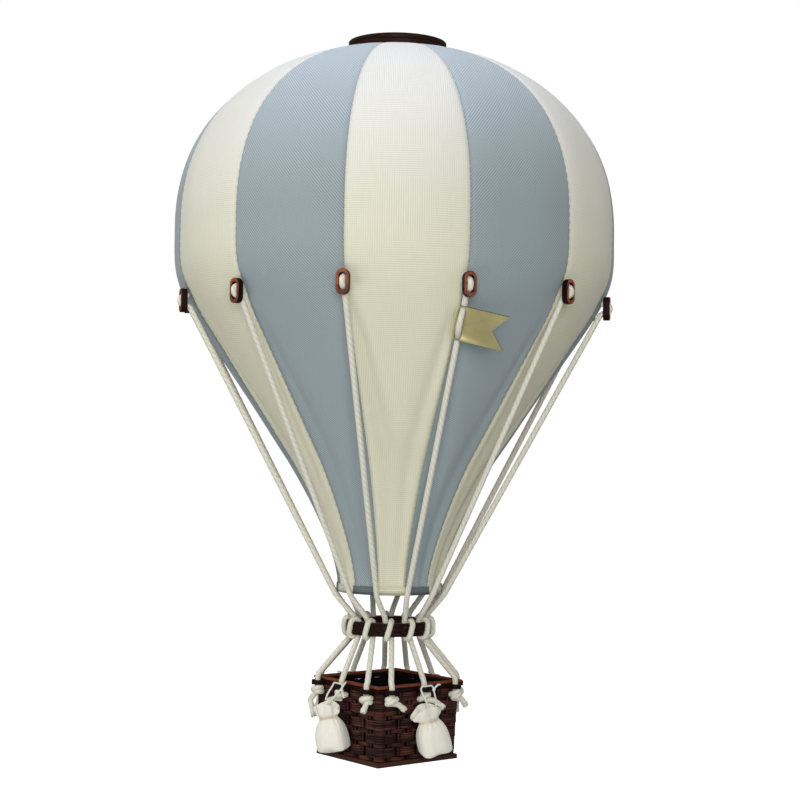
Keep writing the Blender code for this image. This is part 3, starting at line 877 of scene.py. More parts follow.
def lower_route(number):
    """Points and sizes from above the ear, through its knot, to the tail's end."""
    side, along = ear_of(number)
    azimuth = side_azimuth(side)
    places = []
    sizes = []

    def go(out, height, aside, size):
        places.append(at(azimuth, EAR_OUT + out, height, along + aside))
        sizes.append(size)

    go(-0.9 * MM, EAR_TOP + 4.6 * MM, 0.0, 1.0)
    go(0.0, EAR_TOP + 2.4 * MM, 0.0, 1.0)
    go(0.0, EAR_BOTTOM - 0.2 * MM, 0.0, 0.95)
    knot_top = EAR_BOTTOM - 1.9 * MM
    steps = 26
    start = math.radians(100 + 137 * number)
    for i in range(steps + 1):
        share = i / steps
        angle = start + math.tau * KNOT_WRAPS * share
        reach = KNOT_REACH * ramp(share, 0.0, 0.14) * (1 - 0.7 * ramp(share, 0.88, 1.0))
        lean = KNOT_LEAN * math.sin(angle + 0.8)
        go(reach * math.sin(angle), knot_top - KNOT_TALL * share + lean, reach * math.cos(angle), 1.0)
    base = knot_top - KNOT_TALL - 0.2 * MM
    tail = TAILS.get(number, TAIL_BY_POUCH if along == 0.0 else TAIL_ELSEWHERE)
    for aside, down, out in tail:
        go(out * MM, base - down * MM, aside * MM, TAIL_SIZE)
    return places, sizes


def tag_frame():
    """The tag's middle on its cord, with unit vectors down the cord, across and out."""
    azimuth = seam_azimuth(TAG_SEAM)
    inner, _ = toggle_faces(TAG_SEAM)
    hem_edge = (HEM_RADIUS, HEM_BOTTOM)
    corner = (inner, toggle_height(TAG_SEAM) - SLOT_LONG / 2)
    run = run_heading(corner, hem_edge)
    upper = arc(corner, CORD_CLEAR, 90, 180 - run, 2)[-1]
    lower = arc(hem_edge, CORD_CLEAR, -run, -run, 1)[0]
    share = (upper[1] - TAG_HEIGHT) / (upper[1] - lower[1])
    place = at(azimuth, upper[0] + (lower[0] - upper[0]) * share, TAG_HEIGHT)
    down = (at(azimuth, *lower) - at(azimuth, *upper)).normalized()
    level = at(azimuth, 0.0, 0.0, 1.0)
    across = level * math.cos(TAG_LIFT) + down.cross(level) * math.sin(TAG_LIFT)
    return place, down, across, down.cross(across)


def tag_weave():
    """Points of the cord where it passes in front of the tag between its two slots."""
    place, down, _, out = tag_frame()
    stand = CORD_RADIUS + TAG_THICK / 2 + GAP
    slant = 3.4 * MM
    half = TAG_HOLES_APART / 2
    bends = ((-half - slant, -1), (-half + slant, 1), (half - slant, 1), (half + slant, -1))
    return [place + down * along + out * stand * (1 + side) for along, side in bends]


def hitch_places(number):
    """Places of the hitch above an ear, which holds the cord of the seam before it."""
    azimuth = seam_azimuth(number) + RING_TURN
    return [at(azimuth, *place) for place in ring_route()]


def upper_line(number, step):
    """The smooth line of a cord from its seam down into its hole in the load ring.

    Each cord is two pieces that meet inside the hole, and lower_line gives the other.
    """
    seam = seam_azimuth(number)
    upper = [at(seam, radius, height) for radius, height in upper_route(number)]
    if number == TAG_SEAM:
        upper[-5:-5] = tag_weave()
    return relaxed(spaced(upper + hitch_places((number + 1) % GORES)[:4], step), SMOOTHING)


def lower_line(number, step):
    """The smooth line from inside the hole, round the ring and down to the tail, with its sizes."""
    lower, swell = lower_route(number)
    places = relaxed(spaced(hitch_places(number)[2:] + lower[:1], step), SMOOTHING)
    sizes = [1.0] * (len(places) - 1)
    knot = relaxed(spaced(lower, 0.6 * step), SMOOTHING)
    total = len(knot) - 1
    for i in range(len(knot)):
        sizes.append(swell[round(i / total * (len(swell) - 1))])
    return places[:-1] + knot, sizes


def frayed_end(bm, place, ahead, dice):
    """Loose fibres at a cord's cut end."""
    fibres = 40
    outline = disc_outline(0.32 * MM, 6)
    inside = 1.2 * MM
    for _ in range(fibres):
        spin = dice.uniform(0, math.tau)
        side = ahead.orthogonal().normalized()
        side.rotate(Matrix.Rotation(spin, 3, ahead))
        start = place + side * CORD_RADIUS * 0.8 * math.sqrt(dice.random()) - ahead * inside
        reach = dice.uniform(1.5, 2.2) * MM
        bend = side * reach * dice.uniform(0.0, 0.35)
        points = [start, start + ahead * reach * 0.55 + bend * 0.3, start + ahead * reach + bend]
        sweep(bm, points, outline, sizes=[1.2, 1.0, 0.6])


def rope_piece(name, places, sizes, cord, material, frayed=None):
    """A cord of twisted strands along its line."""
    sides = 18
    outline = []
    for k in range(sides):
        angle = math.tau * k / sides
        radius = cord.radius * (1 - cord.groove * (1 - strand_lobe(angle) ** 0.7))
        outline.append((radius * math.cos(angle), radius * math.sin(angle)))
    turns = [math.tau * distance / cord.lay for distance in distances(places)]
    bm = rope_mesh()
    sweep(bm, places, outline, sizes=sizes, turns=turns)
    if frayed is not None:
        ahead = (places[-1] - places[-3]).normalized()
        frayed_end(bm, places[-1], ahead, random.Random(frayed))
    bmesh.ops.recalc_face_normals(bm, faces=bm.faces)
    return finished(name, bm, [material])


# Basket weave


def wall_half(height):
    """Half of the basket's side at a height."""
    share = (WALL_TOP - height) / (WALL_TOP - WALL_BOTTOM)
    return WALL_TOP_HALF + (WALL_BOTTOM_HALF - WALL_TOP_HALF) * share


def band_bulge(aside, column, wide):
    """How far out a band runs, from -1 behind a stake to 1 before it; both show at a corner."""
    wave = math.cos(math.pi * aside / column)
    if wide:
        wave = -wave
    at_corner = ramp(abs(aside), 3.5 * column, 3.8 * column)
    return wave * (1 - at_corner) + (0.75 if wide else 0.6) * at_corner


def strand_loop(height, basket, wide, offset, dice):
    """One strand right round the basket: wide bands pass before every other stake."""
    corner = CORNER_RADIUS
    wall_steps = 40
    corner_steps = 7
    depth = basket.stake + basket.strand_out
    shift = dice.uniform(0, 50)
    points = []
    for side in range(4):
        azimuth = side_azimuth(side)
        half = wall_half(height) - depth
        run = half - corner
        for i in range(wall_steps):
            aside = -run + 2 * run * i / wall_steps
            bulge = band_bulge(aside, basket.column, wide)
            wander = 0.10 * MM * noise.noise(Vector((aside * 180, side * 9.0, shift)))
            pinch = 1 - 0.16 * max(0.0, bulge) if wide else 1 + 0.5 * max(0.0, -bulge)
            out = half + depth * bulge + wander
            points.append(at(azimuth, out, height + offset * pinch + wander, aside))
        for i in range(corner_steps):
            angle = math.pi / 2 * i / corner_steps
            bulge = band_bulge(run + corner * math.sin(angle), basket.column, wide)
            reach = corner + depth * bulge
            out = half - corner + reach * math.cos(angle)
            points.append(at(azimuth, out, height + offset, half - corner + reach * math.sin(angle)))
    return points


def weave_bands(basket):
    """Middle height, strand offsets and kind of each band, from the floor up."""
    bands = []
    height = WALL_BOTTOM + 1.35 * MM
    thin = 0.58 * MM
    while height < WALL_TOP:
        bands.append((height, (-thin, thin), False))
        middle = height + basket.period / 2
        reach = basket.period / 2 - 2 * thin
        top = min(middle + reach, WALL_TOP)
        pitch = (top - middle + reach) / 4
        bands.append((middle, [pitch * (k + 0.5) - reach for k in range(4)], True))
        height += basket.period
    return bands


# Pouches

# Columns: height above the neck, half width, half depth, all in mm, squareness, pleat depth
POUCH_SECTIONS = (
    (-21.9, 4.8, 3.2, 2.6, 0.0),
    (-21.6, 9.2, 6.6, 3.6, 0.0),
    (-20.9, 10.8, 7.9, 4.2, 0.0),
    (-18.6, 11.2, 8.2, 3.8, 0.0),
    (-15.0, 11.3, 8.3, 3.4, 0.003),
    (-11.0, 11.1, 8.2, 3.1, 0.006),
    (-8.0, 10.7, 7.8, 2.8, 0.012),
    (-5.2, 9.9, 7.1, 2.5, 0.024),
    (-3.0, 8.7, 6.2, 2.2, 0.045),
    (-1.3, 7.5, 5.1, 2.1, 0.065),
    (-0.2, 6.6, 4.2, 2.0, 0.065),
    (0.8, 6.7, 4.3, 2.0, 0.065),
    (2.4, 7.4, 4.8, 2.0, 0.07),
    (4.4, 8.3, 5.3, 2.0, 0.08),
    (6.6, 8.9, 5.6, 2.0, 0.09),
    (8.8, 9.1, 5.7, 2.0, 0.10),
    (9.5, 9.1, 5.6, 2.0, 0.10),
    (9.2, 8.6, 5.1, 2.0, 0.10),
    (6.0, 7.4, 4.2, 2.0, 0.09),
    (3.0, 5.8, 3.2, 2.0, 0.07),
    (1.2, 2.8, 1.5, 2.0, 0.03),
)
# Each pouch. Columns: roll in degrees, height in mm that it rolls about, slope of the bottom
# sideways and outwards, droop of the ruffle's left and right tips in mm, spread of its left tip
POUCH_LEANS = (
    (14.5, 0.0, 0.0, -0.26, 6.0, 4.5, 0.32),
    (-6.0, 0.0, 0.04, -0.15, 3.0, 4.0, 0.05),
    (5.0, -8.0, -0.03, -0.20, 4.5, 2.5, 0.12),
    (13.0, -19.0, -0.07, -0.13, 1.5, 6.0, 0.0),
)


def squared(share, half, power):
    """A coordinate of an oval that a power over 2 squares off."""
    return math.copysign(abs(share) ** (2 / power), share) * half


def pouch_shape(side, pouch):
    """A gathered bag in its own frame: x sideways, y out, z up from its neck."""
    bm = bmesh.new()
    neck = bm.verts.layers.float.new("neck")
    rings = []
    sides = 64
    roll, pivot, slope, slope_out, droop_left, droop_right, tip = POUCH_LEANS[side]
    rolled = Matrix.Rotation(math.radians(-roll), 3, "Y")
    for height, half_width, half_depth, square, pleat in POUCH_SECTIONS:
        circle = bmesh.ops.create_circle(bm, segments=sides, radius=1.0)["verts"]
        for vert in circle:
            angle = math.atan2(vert.co.y, vert.co.x)
            count = pouch.pleats if height < 2.0 else pouch.pleats // 2
            fold = 1 + pleat * math.cos(count * angle + side * 1.7 + 0.5 * math.sin(3 * angle))
            x = squared(math.cos(angle), half_width, square) * fold
            y = squared(math.sin(angle), half_depth, square) * fold
            lower = ramp(-height, 2.0, 20.0)
            upper = ramp(height, 0.0, 9.5)
            droop = droop_left if x < 0 else droop_right
            z = height + lower * (slope * x + slope_out * y)
            z += upper * (1.4 - droop * (x / half_width) ** 2 - 0.12 * y)
            if x < 0:
                x *= 1 + tip * ramp(height, 0.0, 5.0)
            place = rolled @ Vector((x, y, z - pivot)) + Vector((0.0, 0.0, pivot))
            vert.co = place * MM
            # Weight of the painted shade in the neck's crease
            vert[neck] = math.exp(-(((height - 0.2) / 0.9) ** 2))
        rings.append(circle)
    for upper, lower in zip(rings, rings[1:]):
        loops = []
        for circle in (set(upper), set(lower)):
            for vert in circle:
                loops += [e for e in vert.link_edges if e.other_vert(vert) in circle and e not in loops]
        bmesh.ops.bridge_loops(bm, edges=loops)
    for end in (rings[0], rings[-1]):
        bm.faces.new(end)
    bm.normal_update()
    bmesh.ops.recalc_face_normals(bm, faces=bm.faces)
    return bm


def filled_pouch(piece, pouch):
    """Lets the cloth below the neck fill out and crease, at ten times its size."""
    mesh = piece.data
    enlarge = 10.0
    start = [v.co.copy() for v in mesh.vertices]
    held = piece.vertex_groups.new(name="held")
    for vert in mesh.vertices:
        held.add([vert.index], ramp(vert.co.z, -5 * MM, -1 * MM), "REPLACE")
        vert.co *= enlarge
    cloth = piece.modifiers.new("fill", "CLOTH")
    cloth.settings.quality = 5
    cloth.settings.mass = 0.25
    cloth.settings.tension_stiffness = 12
    cloth.settings.compression_stiffness = 12
    cloth.settings.shear_stiffness = 4
    cloth.settings.bending_stiffness = 0.3
    cloth.settings.use_pressure = True
    cloth.settings.uniform_pressure_force = pouch.pressure
    cloth.settings.vertex_group_mass = "held"
    cloth.settings.effector_weights.gravity = 0.0
    cloth.point_cache.frame_end = pouch.frames
    for number in range(1, pouch.frames + 1):
        bpy.context.scene.frame_set(number)
    settled = piece.evaluated_get(bpy.context.evaluated_depsgraph_get()).to_mesh()
    ends = [v.co.copy() / enlarge for v in settled.vertices]
    piece.evaluated_get(bpy.context.evaluated_depsgraph_get()).to_mesh_clear()
    piece.modifiers.remove(cloth)
    bpy.context.scene.frame_set(1)
    for vert, before, after in zip(mesh.vertices, start, ends):
        move = after - before
        if move.length > pouch.cap:
            move *= pouch.cap / move.length
        vert.co = before + move
    mesh.update()


def hang_pouch(piece, side):
    """Puts a pouch in its place, its back against the wall."""
    azimuth = side_azimuth(side)
    turn = math.radians(POUCH_TURNS[side])
    soft = 1.5 * MM
    for vert in piece.data.vertices:
        x, y, z = vert.co
        aside = x * math.cos(turn) + y * math.sin(turn)
        out = y * math.cos(turn) - x * math.sin(turn)
        least = wall_half(NECK_HEIGHT + z) + POUCH_CLEAR - POUCH_OUT
        if out < least + soft:
            out = least + soft * math.exp((out - least - soft) / soft)
        vert.co = at(azimuth, POUCH_OUT + out, NECK_HEIGHT + z, aside)
    piece.data.update()


# Strings over the ears. Columns: aside and out of the ear's middle, height above its top, in mm
STRING_OVER = (
    (-2.0, 4.6, -14.6),
    (-3.2, 3.9, -9.4),
    (-5.0, 1.4, -4.2),
    (-5.3, 0.0, -1.0),
    (-4.6, 0.0, 0.9),
    (4.6, 0.0, 0.9),
    (5.3, 0.0, -0.6),
    (5.5, 1.2, -4.0),
    (5.1, 3.6, -9.0),
    (4.3, 4.4, -14.0),
)
STRING_END = ((5.2, 0.5, -1.8), (6.4, 1.6, 0.2), (8.2, 2.0, 1.7), (9.8, 2.0, 1.3))
STRING_CROSSED = (
    (-9.6, 3.0, -11.0),
    (-8.2, 2.4, -6.8),
    (-6.3, 1.0, -3.0),
    (-5.3, 0.0, -0.8),
    (-4.6, 0.0, 0.9),
    (4.6, 0.0, 0.9),
    (5.4, 0.4, -0.2),
    (6.8, 1.6, -2.6),
    (8.6, 2.2, -5.0),
    (9.9, 2.2, -7.6),
)
STRING_CROSSING = (
    (-5.2, 6.6, -17.6),
    (-0.6, 5.6, -11.0),
    (4.0, 4.2, -5.8),
    (7.4, 3.0, -2.2),
    (9.6, 2.6, 0.6),
    (12.0, 2.4, 3.2),
)


def string_lines(side):
    """Lines of a pouch's string over its ear, and the place of its knot."""
    azimuth = side_azimuth(side)

    def here(aside, out, height):
        return at(azimuth, STRING_OUT + out * MM, EAR_TOP + height * MM, aside * MM)

    if side < 3:
        runs = (STRING_OVER, STRING_END)
        knot = here(5.3, 0.8, -1.9)
    else:
        runs = (STRING_CROSSED, STRING_CROSSING)
        knot = here(7.2, 2.4, -2.4)
    return [[here(*place) for place in run] for run in runs], knot


# Operators


class BALLOON_OT_stage(bpy.types.Operator):
    """Pale floor, soft studio light and the camera"""

    bl_idname = "balloon.stage"
    bl_label = "Stage"

    def execute(self, context):
        stage = context.scene.balloon_stage
        bm = bmesh.new()
        bmesh.ops.create_circle(bm, cap_ends=True, segments=96, radius=9.0)
        bmesh.ops.translate(bm, verts=bm.verts, vec=(0.0, 0.0, stage.floor_height))
        material = new_finish("floor", 0.8)
        shader = shader_of(material)
        shader.inputs["Base Color"].default_value = (*stage.floor, 1.0)
        shader.inputs["Emission Color"].default_value = WHITE
        seen = add(material, "ShaderNodeLightPath").outputs["Is Camera Ray"]
        material.node_tree.links.new(seen, shader.inputs["Emission Strength"])
        finished("floor", bm, [material], smooth=False)
        self.light_up(context, stage)
        self.place_camera(context, stage)
        return {"FINISHED"}

    def light_up(self, context, stage):
        """Soft lamps high and low round the front, and a white surround."""
        target = Vector((0.0, 0.0, -0.2))
        # Columns: name, place, size, power
        lamps = (
            ("front_light", (0.0, -1.7, 0.05), 0.9, stage.front),
            ("low_light", (-0.62, -0.42, -0.66), 0.5, stage.low),
            ("side_light", (-0.8, -0.15, 1.1), 0.9, stage.side),
            ("far_light", (0.75, 0.1, 1.1), 0.9, stage.far),
        )
        for name, place, size, power in lamps:
            lamp = bpy.data.lights.new(name, "AREA")
            lamp.size = size
            lamp.energy = power
            holder = bpy.data.objects.new(name, lamp)
            holder.location = place
            aim = target - Vector(place)
            holder.rotation_mode = "QUATERNION"
            holder.rotation_quaternion = aim.to_track_quat("-Z", "Y")
            context.collection.objects.link(holder)
        world = bpy.data.worlds.new("surround")
        world.use_nodes = True
        tree = world.node_tree
        shown = tree.nodes["Background"]
        shown.inputs["Color"].default_value = WHITE
        shown.inputs["Strength"].default_value = 1.0
        lit = add(world, "ShaderNodeBackground", {"Color": WHITE, "Strength": stage.surround})
        seen = add(world, "ShaderNodeLightPath").outputs["Is Camera Ray"]
        mix = add(world, "ShaderNodeMixShader", {0: seen, 1: lit.outputs[0], 2: shown.outputs[0]})
        tree.links.new(mix.outputs[0], tree.nodes["World Output"].inputs["Surface"])
        context.scene.world = world
        context.scene.view_settings.view_transform = "Standard"

    def place_camera(self, context, stage):
        """The camera at its place and height, aimed by its turn, tilt and roll."""
        camera = bpy.data.cameras.new("camera")
        camera.lens = stage.lens
        camera.sensor_width = 36.0
        holder = bpy.data.objects.new("camera", camera)
        ahead = -at(stage.azimuth, 1.0, 0.0)
        ahead.rotate(Matrix.Rotation(-stage.yaw, 3, "Z"))
        ahead = (ahead + UP * math.tan(stage.pitch)).normalized()
        right = ahead.cross(UP).normalized()
        above = right.cross(ahead)
        roll = Matrix.Rotation(stage.roll, 2)
        leaned = right * roll[0][0] + above * roll[1][0]
        above = above * roll[1][1] + right * roll[0][1]
        turn = Matrix((leaned, above, -ahead)).transposed()
        holder.matrix_world = Matrix.Translation(at(stage.azimuth, stage.distance, stage.eye)) @ turn.to_4x4()
        context.collection.objects.link(holder)
        context.scene.camera = holder


class BALLOON_OT_stays(bpy.types.Operator):
    """Twelve twisted cords in two pieces each, hitched on the load ring and knotted under the ears"""

    bl_idname = "balloon.stays"
    bl_label = "Stays"

    def execute(self, context):
        cord = context.scene.balloon_cord
        material = cotton_finish("cord_cotton", cord.cotton, cord.shade)
        for number in range(GORES):
            label = f"{number + 1:02d}"
            places = upper_line(number, cord.step)
            upper = rope_piece(f"upper_cord_{label}", places, [1.0] * len(places), cord, material)
            settle(upper, BODY, "cotton_cord", f"stay_{label}")
            places, sizes = lower_line(number, cord.step)
            lower = rope_piece(f"lower_cord_{label}", places, sizes, cord, material, frayed=number)
            settle(lower, BODY, "cotton_cord", f"stay_{label}")
        return {"FINISHED"}


class BALLOON_OT_crown(bpy.types.Operator):
    """Two stained plywood discs over the tips of the gores"""

    bl_idname = "balloon.crown"
    bl_label = "Crown"

    def execute(self, context):
        wood = context.scene.balloon_wood
        plies = (("crown_upper", "crown_cap", (1, 0)), ("crown_lower", "crown_base", (0, 1)))
        edge = darker(wood.crown, 0.45)
        for name, node, grain in plies:
            material = wood_finish(f"{name}_wood", wood.crown, edge, wood.ply, grain)
            bm = flat_ring(CROWN_RADIUS, CROWN_HOLE, highest(node), lowest(node), 128, wood.ease)
            settle(finished(name, bm, [material], angle=50), BODY, "dark_wood", node)
        return {"FINISHED"}


class BALLOON_OT_gores(bpy.types.Operator):
    """Twelve sewn cloth gores, puffed between their seams and folded below the toggles"""

    bl_idname = "balloon.gores"
    bl_label = "Gores"

    def execute(self, context):
        cloth = context.scene.balloon_cloth
        white = cloth_finish("white_canvas", cloth.white_top, cloth.white_low, cloth, False)
        blue = cloth_finish("blue_canvas", cloth.blue_top, cloth.blue_low, cloth, True)
        rows = envelope_rows(cloth.row)
        for number in range(GORES):
            bm = self.panel(number, rows, cloth)
            name = f"canvas_gore_{number + 1:02d}"
            gore = finished(name, bm, [blue if number % 2 else white])
            wall = gore.modifiers.new("cloth", "SOLIDIFY")
            wall.thickness = cloth.thickness
            wall.offset = -1.0
            slot = "fabric_blue" if number % 2 else "fabric_white"
            settle(gore, BODY, slot, f"gore_{number + 1:02d}")
        return {"FINISHED"}

    def panel(self, number, rows, cloth):
        """One gore, spun from the profile and then shaped."""
        middle = number * 2 * HALF_GORE
        columns = 22
        mirrored = -1 if number > GORES / 2 else 1  # the twill leans the other way on the left
        bm = bmesh.new()
        along = bm.verts.layers.float.new("along")
        chain = []
        for distance, radius, height, _ in rows:
            chain.append(bm.verts.new(at(middle - HALF_GORE, radius, height)))
            chain[-1][along] = distance
        edges = [bm.edges.new(pair) for pair in zip(chain, chain[1:])]
        bmesh.ops.spin(
            bm, geom=chain + edges, cent=(0, 0, 0), axis=(0, 0, 1), angle=2 * HALF_GORE, steps=columns
        )
        bmesh.ops.remove_doubles(bm, verts=bm.verts, dist=1e-7)
        seam = bm.verts.layers.float.new("seam")
        uv = bm.loops.layers.uv.new("cloth")
        spots = {}
        for vert in bm.verts:
            azimuth = math.atan2(vert.co.x, -vert.co.y) - middle
            azimuth = (azimuth + math.pi) % math.tau - math.pi
            share = math.sin(azimuth / HALF_GORE * math.pi / 2)
            distance, radius, height, out = rows[round(vert[along] / cloth.row)]
            edge = (1 - abs(share)) * HALF_GORE * radius
            lift = self.lift(number, share, edge, distance, radius, height, cloth)
            vert.co = at(middle + share * HALF_GORE, radius + out.x * lift, height + out.y * lift)
            # Nearness to the seam, used for the painted shade along the seams
            vert[seam] = math.exp(-edge / (0.9 * MM))
            spots[vert] = (mirrored * share * HALF_GORE * radius, distance)
        write_uv(bm.faces, uv, spots)
        bm.normal_update()
        widest = max(bm.faces, key=lambda f: f.calc_center_median().xy.length)
        if widest.normal.dot(widest.calc_center_median()) < 0:
            bmesh.ops.reverse_faces(bm, faces=bm.faces[:])
        return bm

    def lift(self, number, share, edge, distance, radius, height, cloth):
        """How far the cloth stands off its smooth shape at a place."""
        # Puffed between the seams, with a groove at each, but flat under the crown
        open_cloth = ramp(distance, 24 * MM, 60 * MM)
        lift = cloth.puff * (1 - share**2) * open_cloth * (0.4 + 0.6 * radius / (150 * MM))
        lift -= cloth.tuck * math.exp(-((edge / (1.3 * MM)) ** 2)) * (0.35 + 0.65 * open_cloth)
        # Puckered along the seam, and a little uneven all over
        side = 1 if share > 0 else -1
        seam_number = (number + (side - 1) // 2) % GORES
        wave = math.sin(math.tau * distance / (5.2 * MM) + 2.4 * seam_number)
        lift += cloth.pucker * wave * math.exp(-edge / (3.2 * MM)) * open_cloth
        broad = Vector((share * 1.6 + number * 5.1, distance * 16, number * 3.7))
        lift += 0.7 * MM * noise.noise(broad) * open_cloth * (1 - math.exp(-edge / (6 * MM)))
        # Pressed in under each toggle
        pull = edge**2 + (height - TOGGLE_HEIGHT + 2 * MM) ** 2
        lift -= 0.9 * MM * math.exp(-pull / (9 * MM) ** 2)
        # Folds from both toggles into the cone, and flutes at the mouth
        slack = ramp(-height, 186 * MM, 215 * MM)
        drawn = ramp(-height, 190 * MM, 335 * MM)
        for hand in (-1, 1):
            character = noise.noise(Vector((number * 2.3, hand * 4.7, 1.0)))
            path = hand * (0.86 - (0.52 + 0.2 * character) * drawn)
            width = (3.2 + 1.6 * drawn) * MM
            valley = math.exp(-(((share - path) * HALF_GORE * radius / width) ** 2))
            depth = cloth.fold * (0.75 + 0.7 * character) * (1 - 0.4 * drawn)
            lift -= depth * valley * slack
        flutes = math.cos(math.pi * 2.0 * share + number) * 0.5 * MM
        return lift + flutes * ramp(-height, 270 * MM, 350 * MM) * ramp(edge, 0.0, 4 * MM)


class BALLOON_OT_hem(bpy.types.Operator):
    """A rolled hem round the mouth, in the colours of the gores, with painted shade darkening its bottom and
    near-black painted shade under the blue gores
    """

    bl_idname = "balloon.hem"
    bl_label = "Mouth hem"

    def execute(self, context):
        cloth = context.scene.balloon_cloth
        finishes = [
            self.hem_finish("white_hem", cloth.white_low),
            # The blue hem is darkened to 0.45 of the cone's blue as painted shade.
            self.hem_finish("blue_hem", darker(cloth.blue_low, 0.45)),
            self.underside_shade_finish(cloth),
        ]
        top = MOUTH_HEIGHT + 1.6 * MM
        middle = MOUTH_RADIUS - 0.1 * MM
        outline = arc((middle, HEM_BOTTOM + 0.6 * MM), 0.55 * MM, -180, 0, 8)
        for out, up in ((0.42, 1.5), (0.5, 2.6), (0.42, 3.4)):
            outline.append((middle + out * MM, HEM_BOTTOM + up * MM))
        outline += [(middle + 0.35 * MM, top), (middle - 0.4 * MM, top)]
        outline.append((middle - 0.5 * MM, HEM_BOTTOM + 2.6 * MM))
        bm = turned(outline, 240)
        for vert in bm.verts:
            azimuth = math.atan2(vert.co.x, -vert.co.y)
            wave = 0.12 * math.sin(azimuth * 60) + 0.25 * math.sin(azimuth * 5 + 1.0)
            out = Vector((vert.co.x, vert.co.y, 0.0)).normalized()
            vert.co += out * wave * 0.5 * MM
        for face in bm.faces:
            centre = face.calc_center_median()
            azimuth = math.atan2(centre.x, -centre.y)
            gore = round(azimuth / (2 * HALF_GORE)) % GORES
            face.material_index = gore % 2
            # The underside of the blue hem takes the near-black painted shade.
            if gore % 2 and centre.z < HEM_BOTTOM + 1.4 * MM:
                face.material_index = 2
        settle(finished("mouth_roll", bm, finishes), BODY, "fabric_white", "mouth_hem")
        return {"FINISHED"}

    def hem_finish(self, name, tone):
        """Turned-in canvas, darkened by painted shade towards the bottom of the roll."""
        material = new_finish(name, 0.92, sheen=0.2)
        place = object_place(material)
        slub = speckle(material, place, (300.0, 300.0, 1500.0), detail=3.0)
        height = add(material, "ShaderNodeSeparateXYZ", {0: place}).outputs["Z"]
        # Painted shade: the roll is darker towards its bottom.
        painted_hem_shade = spread(material, height, HEM_BOTTOM + 0.4 * MM, HEM_BOTTOM + 3.6 * MM)
        dark = darker(tone, 0.42)
        stitch = lines(material, place, 1.5 * MM, direction="Z", waver=0.3)
        toned = blend(material, painted_hem_shade, dark, tone)
        toned = blend(material, spread(material, stitch, 0.5, 0.9, 0.0, 0.35), toned, dark)
        lit = maths(material, "MULTIPLY_ADD", slub, 0.4, 0.8)
        return close_finish(material, shaded(material, toned, lit), slub, 0.4, 0.1 * MM)

    def underside_shade_finish(self, cloth):
        """Near-black painted shade on the underside of the blue hem, with darker specks."""
        material = new_finish("painted_underside_shade", 0.6)
        scorch_and_shade_specks = speckle(material, object_place(material), (300.0, 300.0, 300.0))
        toned = blend(material, scorch_and_shade_specks, cloth.underside_shade_specks, cloth.underside_shade)
        return close_finish(material, toned, scorch_and_shade_specks, 0.3, 0.05 * MM)


class BALLOON_OT_toggles(bpy.types.Operator):
    """Slotted wooden links with scorched edges, one on each seam"""

    bl_idname = "balloon.toggles"
    bl_label = "Toggles"

    def execute(self, context):
        wood = context.scene.balloon_wood
        material = wood_finish("toggle_wood", wood.toggle, wood.burnt, wood.burnt, (0.0, 1.0), sides=False)
        for number in range(GORES):
            bm = self.link()
            azimuth = seam_azimuth(number)
            outer = toggle_faces(number)[1]
            for vert in bm.verts:
                vert.co = at(azimuth, outer - vert.co.y, toggle_height(number) + vert.co.z, vert.co.x)
            bm.normal_update()
            piece = finished(f"wood_toggle_{number + 1:02d}", bm, [material], angle=40)
            settle(piece, BODY, "dark_wood", f"toggle_{number + 1:02d}")
        return {"FINISHED"}

    def link(self):
        """An oblong ring standing in the plane of X and Z, its front at y 0."""
        bm = bmesh.new()
        for wide, long in ((TOGGLE_WIDE, TOGGLE_LONG), (SLOT_WIDE, SLOT_LONG)):
            for vert in bmesh.ops.create_circle(bm, segments=48, radius=wide / 2)["verts"]:
                vert.co = (vert.co.x, 0.0, lengthened(vert.co.y, (long - wide) / 2))
        flat = bmesh.ops.bridge_loops(bm, edges=bm.edges[:])["faces"]
        thickened(bm, flat, (0.0, TOGGLE_THICK, 0.0))
        ease_edges(bm, TOGGLE_EASE, segments=3, angle=50)
        flat = [face for face in bm.faces if abs(face.normal.y) > 0.98]
        bmesh.ops.inset_region(bm, faces=flat, thickness=TOGGLE_INSET, use_even_offset=True)
        mark_cut_sides(bm, Vector((0.0, 1.0, 0.0)))
        return bm


class BALLOON_OT_load_ring(bpy.types.Operator):
    """Three wooden plies with a hole for each cord"""

    bl_idname = "balloon.load_ring"
    bl_label = "Load ring"

    def execute(self, context):
        wood = context.scene.balloon_wood
        for ply in range(RING_PLIES):
            node = f"load_ring_ply_{ply + 1}"
            grain = (math.cos(ply), math.sin(ply))
            material = wood_finish(f"ring_wood_{ply + 1}", wood.face, wood.burnt, wood.ply, grain)
            bm = self.holed_ring(highest(node), lowest(node))
            ease_edges(bm, wood.ease, segments=2, angle=60)
            settle(finished(f"ring_layer_{ply + 1}", bm, [material], angle=50), BODY, "dark_wood", node)
        return {"FINISHED"}

    def holed_ring(self, top, bottom):
        """A flat ring with an oblong hole for each cord."""
        bm = bmesh.new()
        bmesh.ops.create_circle(bm, segments=144, radius=RING_OUTER)
        bmesh.ops.create_circle(bm, segments=120, radius=RING_INNER)
        for number in range(GORES):
            azimuth = seam_azimuth(number) + RING_TURN
            for vert in bmesh.ops.create_circle(bm, segments=24, radius=HOLE_WIDE / 2)["verts"]:
                aside = lengthened(vert.co.x, (HOLE_LONG - HOLE_WIDE) / 2)
                vert.co = at(azimuth, HOLE_OUT + vert.co.y, 0.0, HOLE_ASIDE + aside)
        flat = bmesh.ops.triangle_fill(bm, edges=bm.edges[:], use_beauty=True, use_dissolve=False)["geom"]
        faces = [part for part in flat if isinstance(part, bmesh.types.BMFace)]
        bmesh.ops.translate(bm, verts=bm.verts, vec=(0.0, 0.0, bottom))
        thickened(bm, faces, (0.0, 0.0, top - bottom))
        bmesh.ops.dissolve_limit(bm, angle_limit=math.radians(0.5), verts=bm.verts, edges=bm.edges)
        return bm


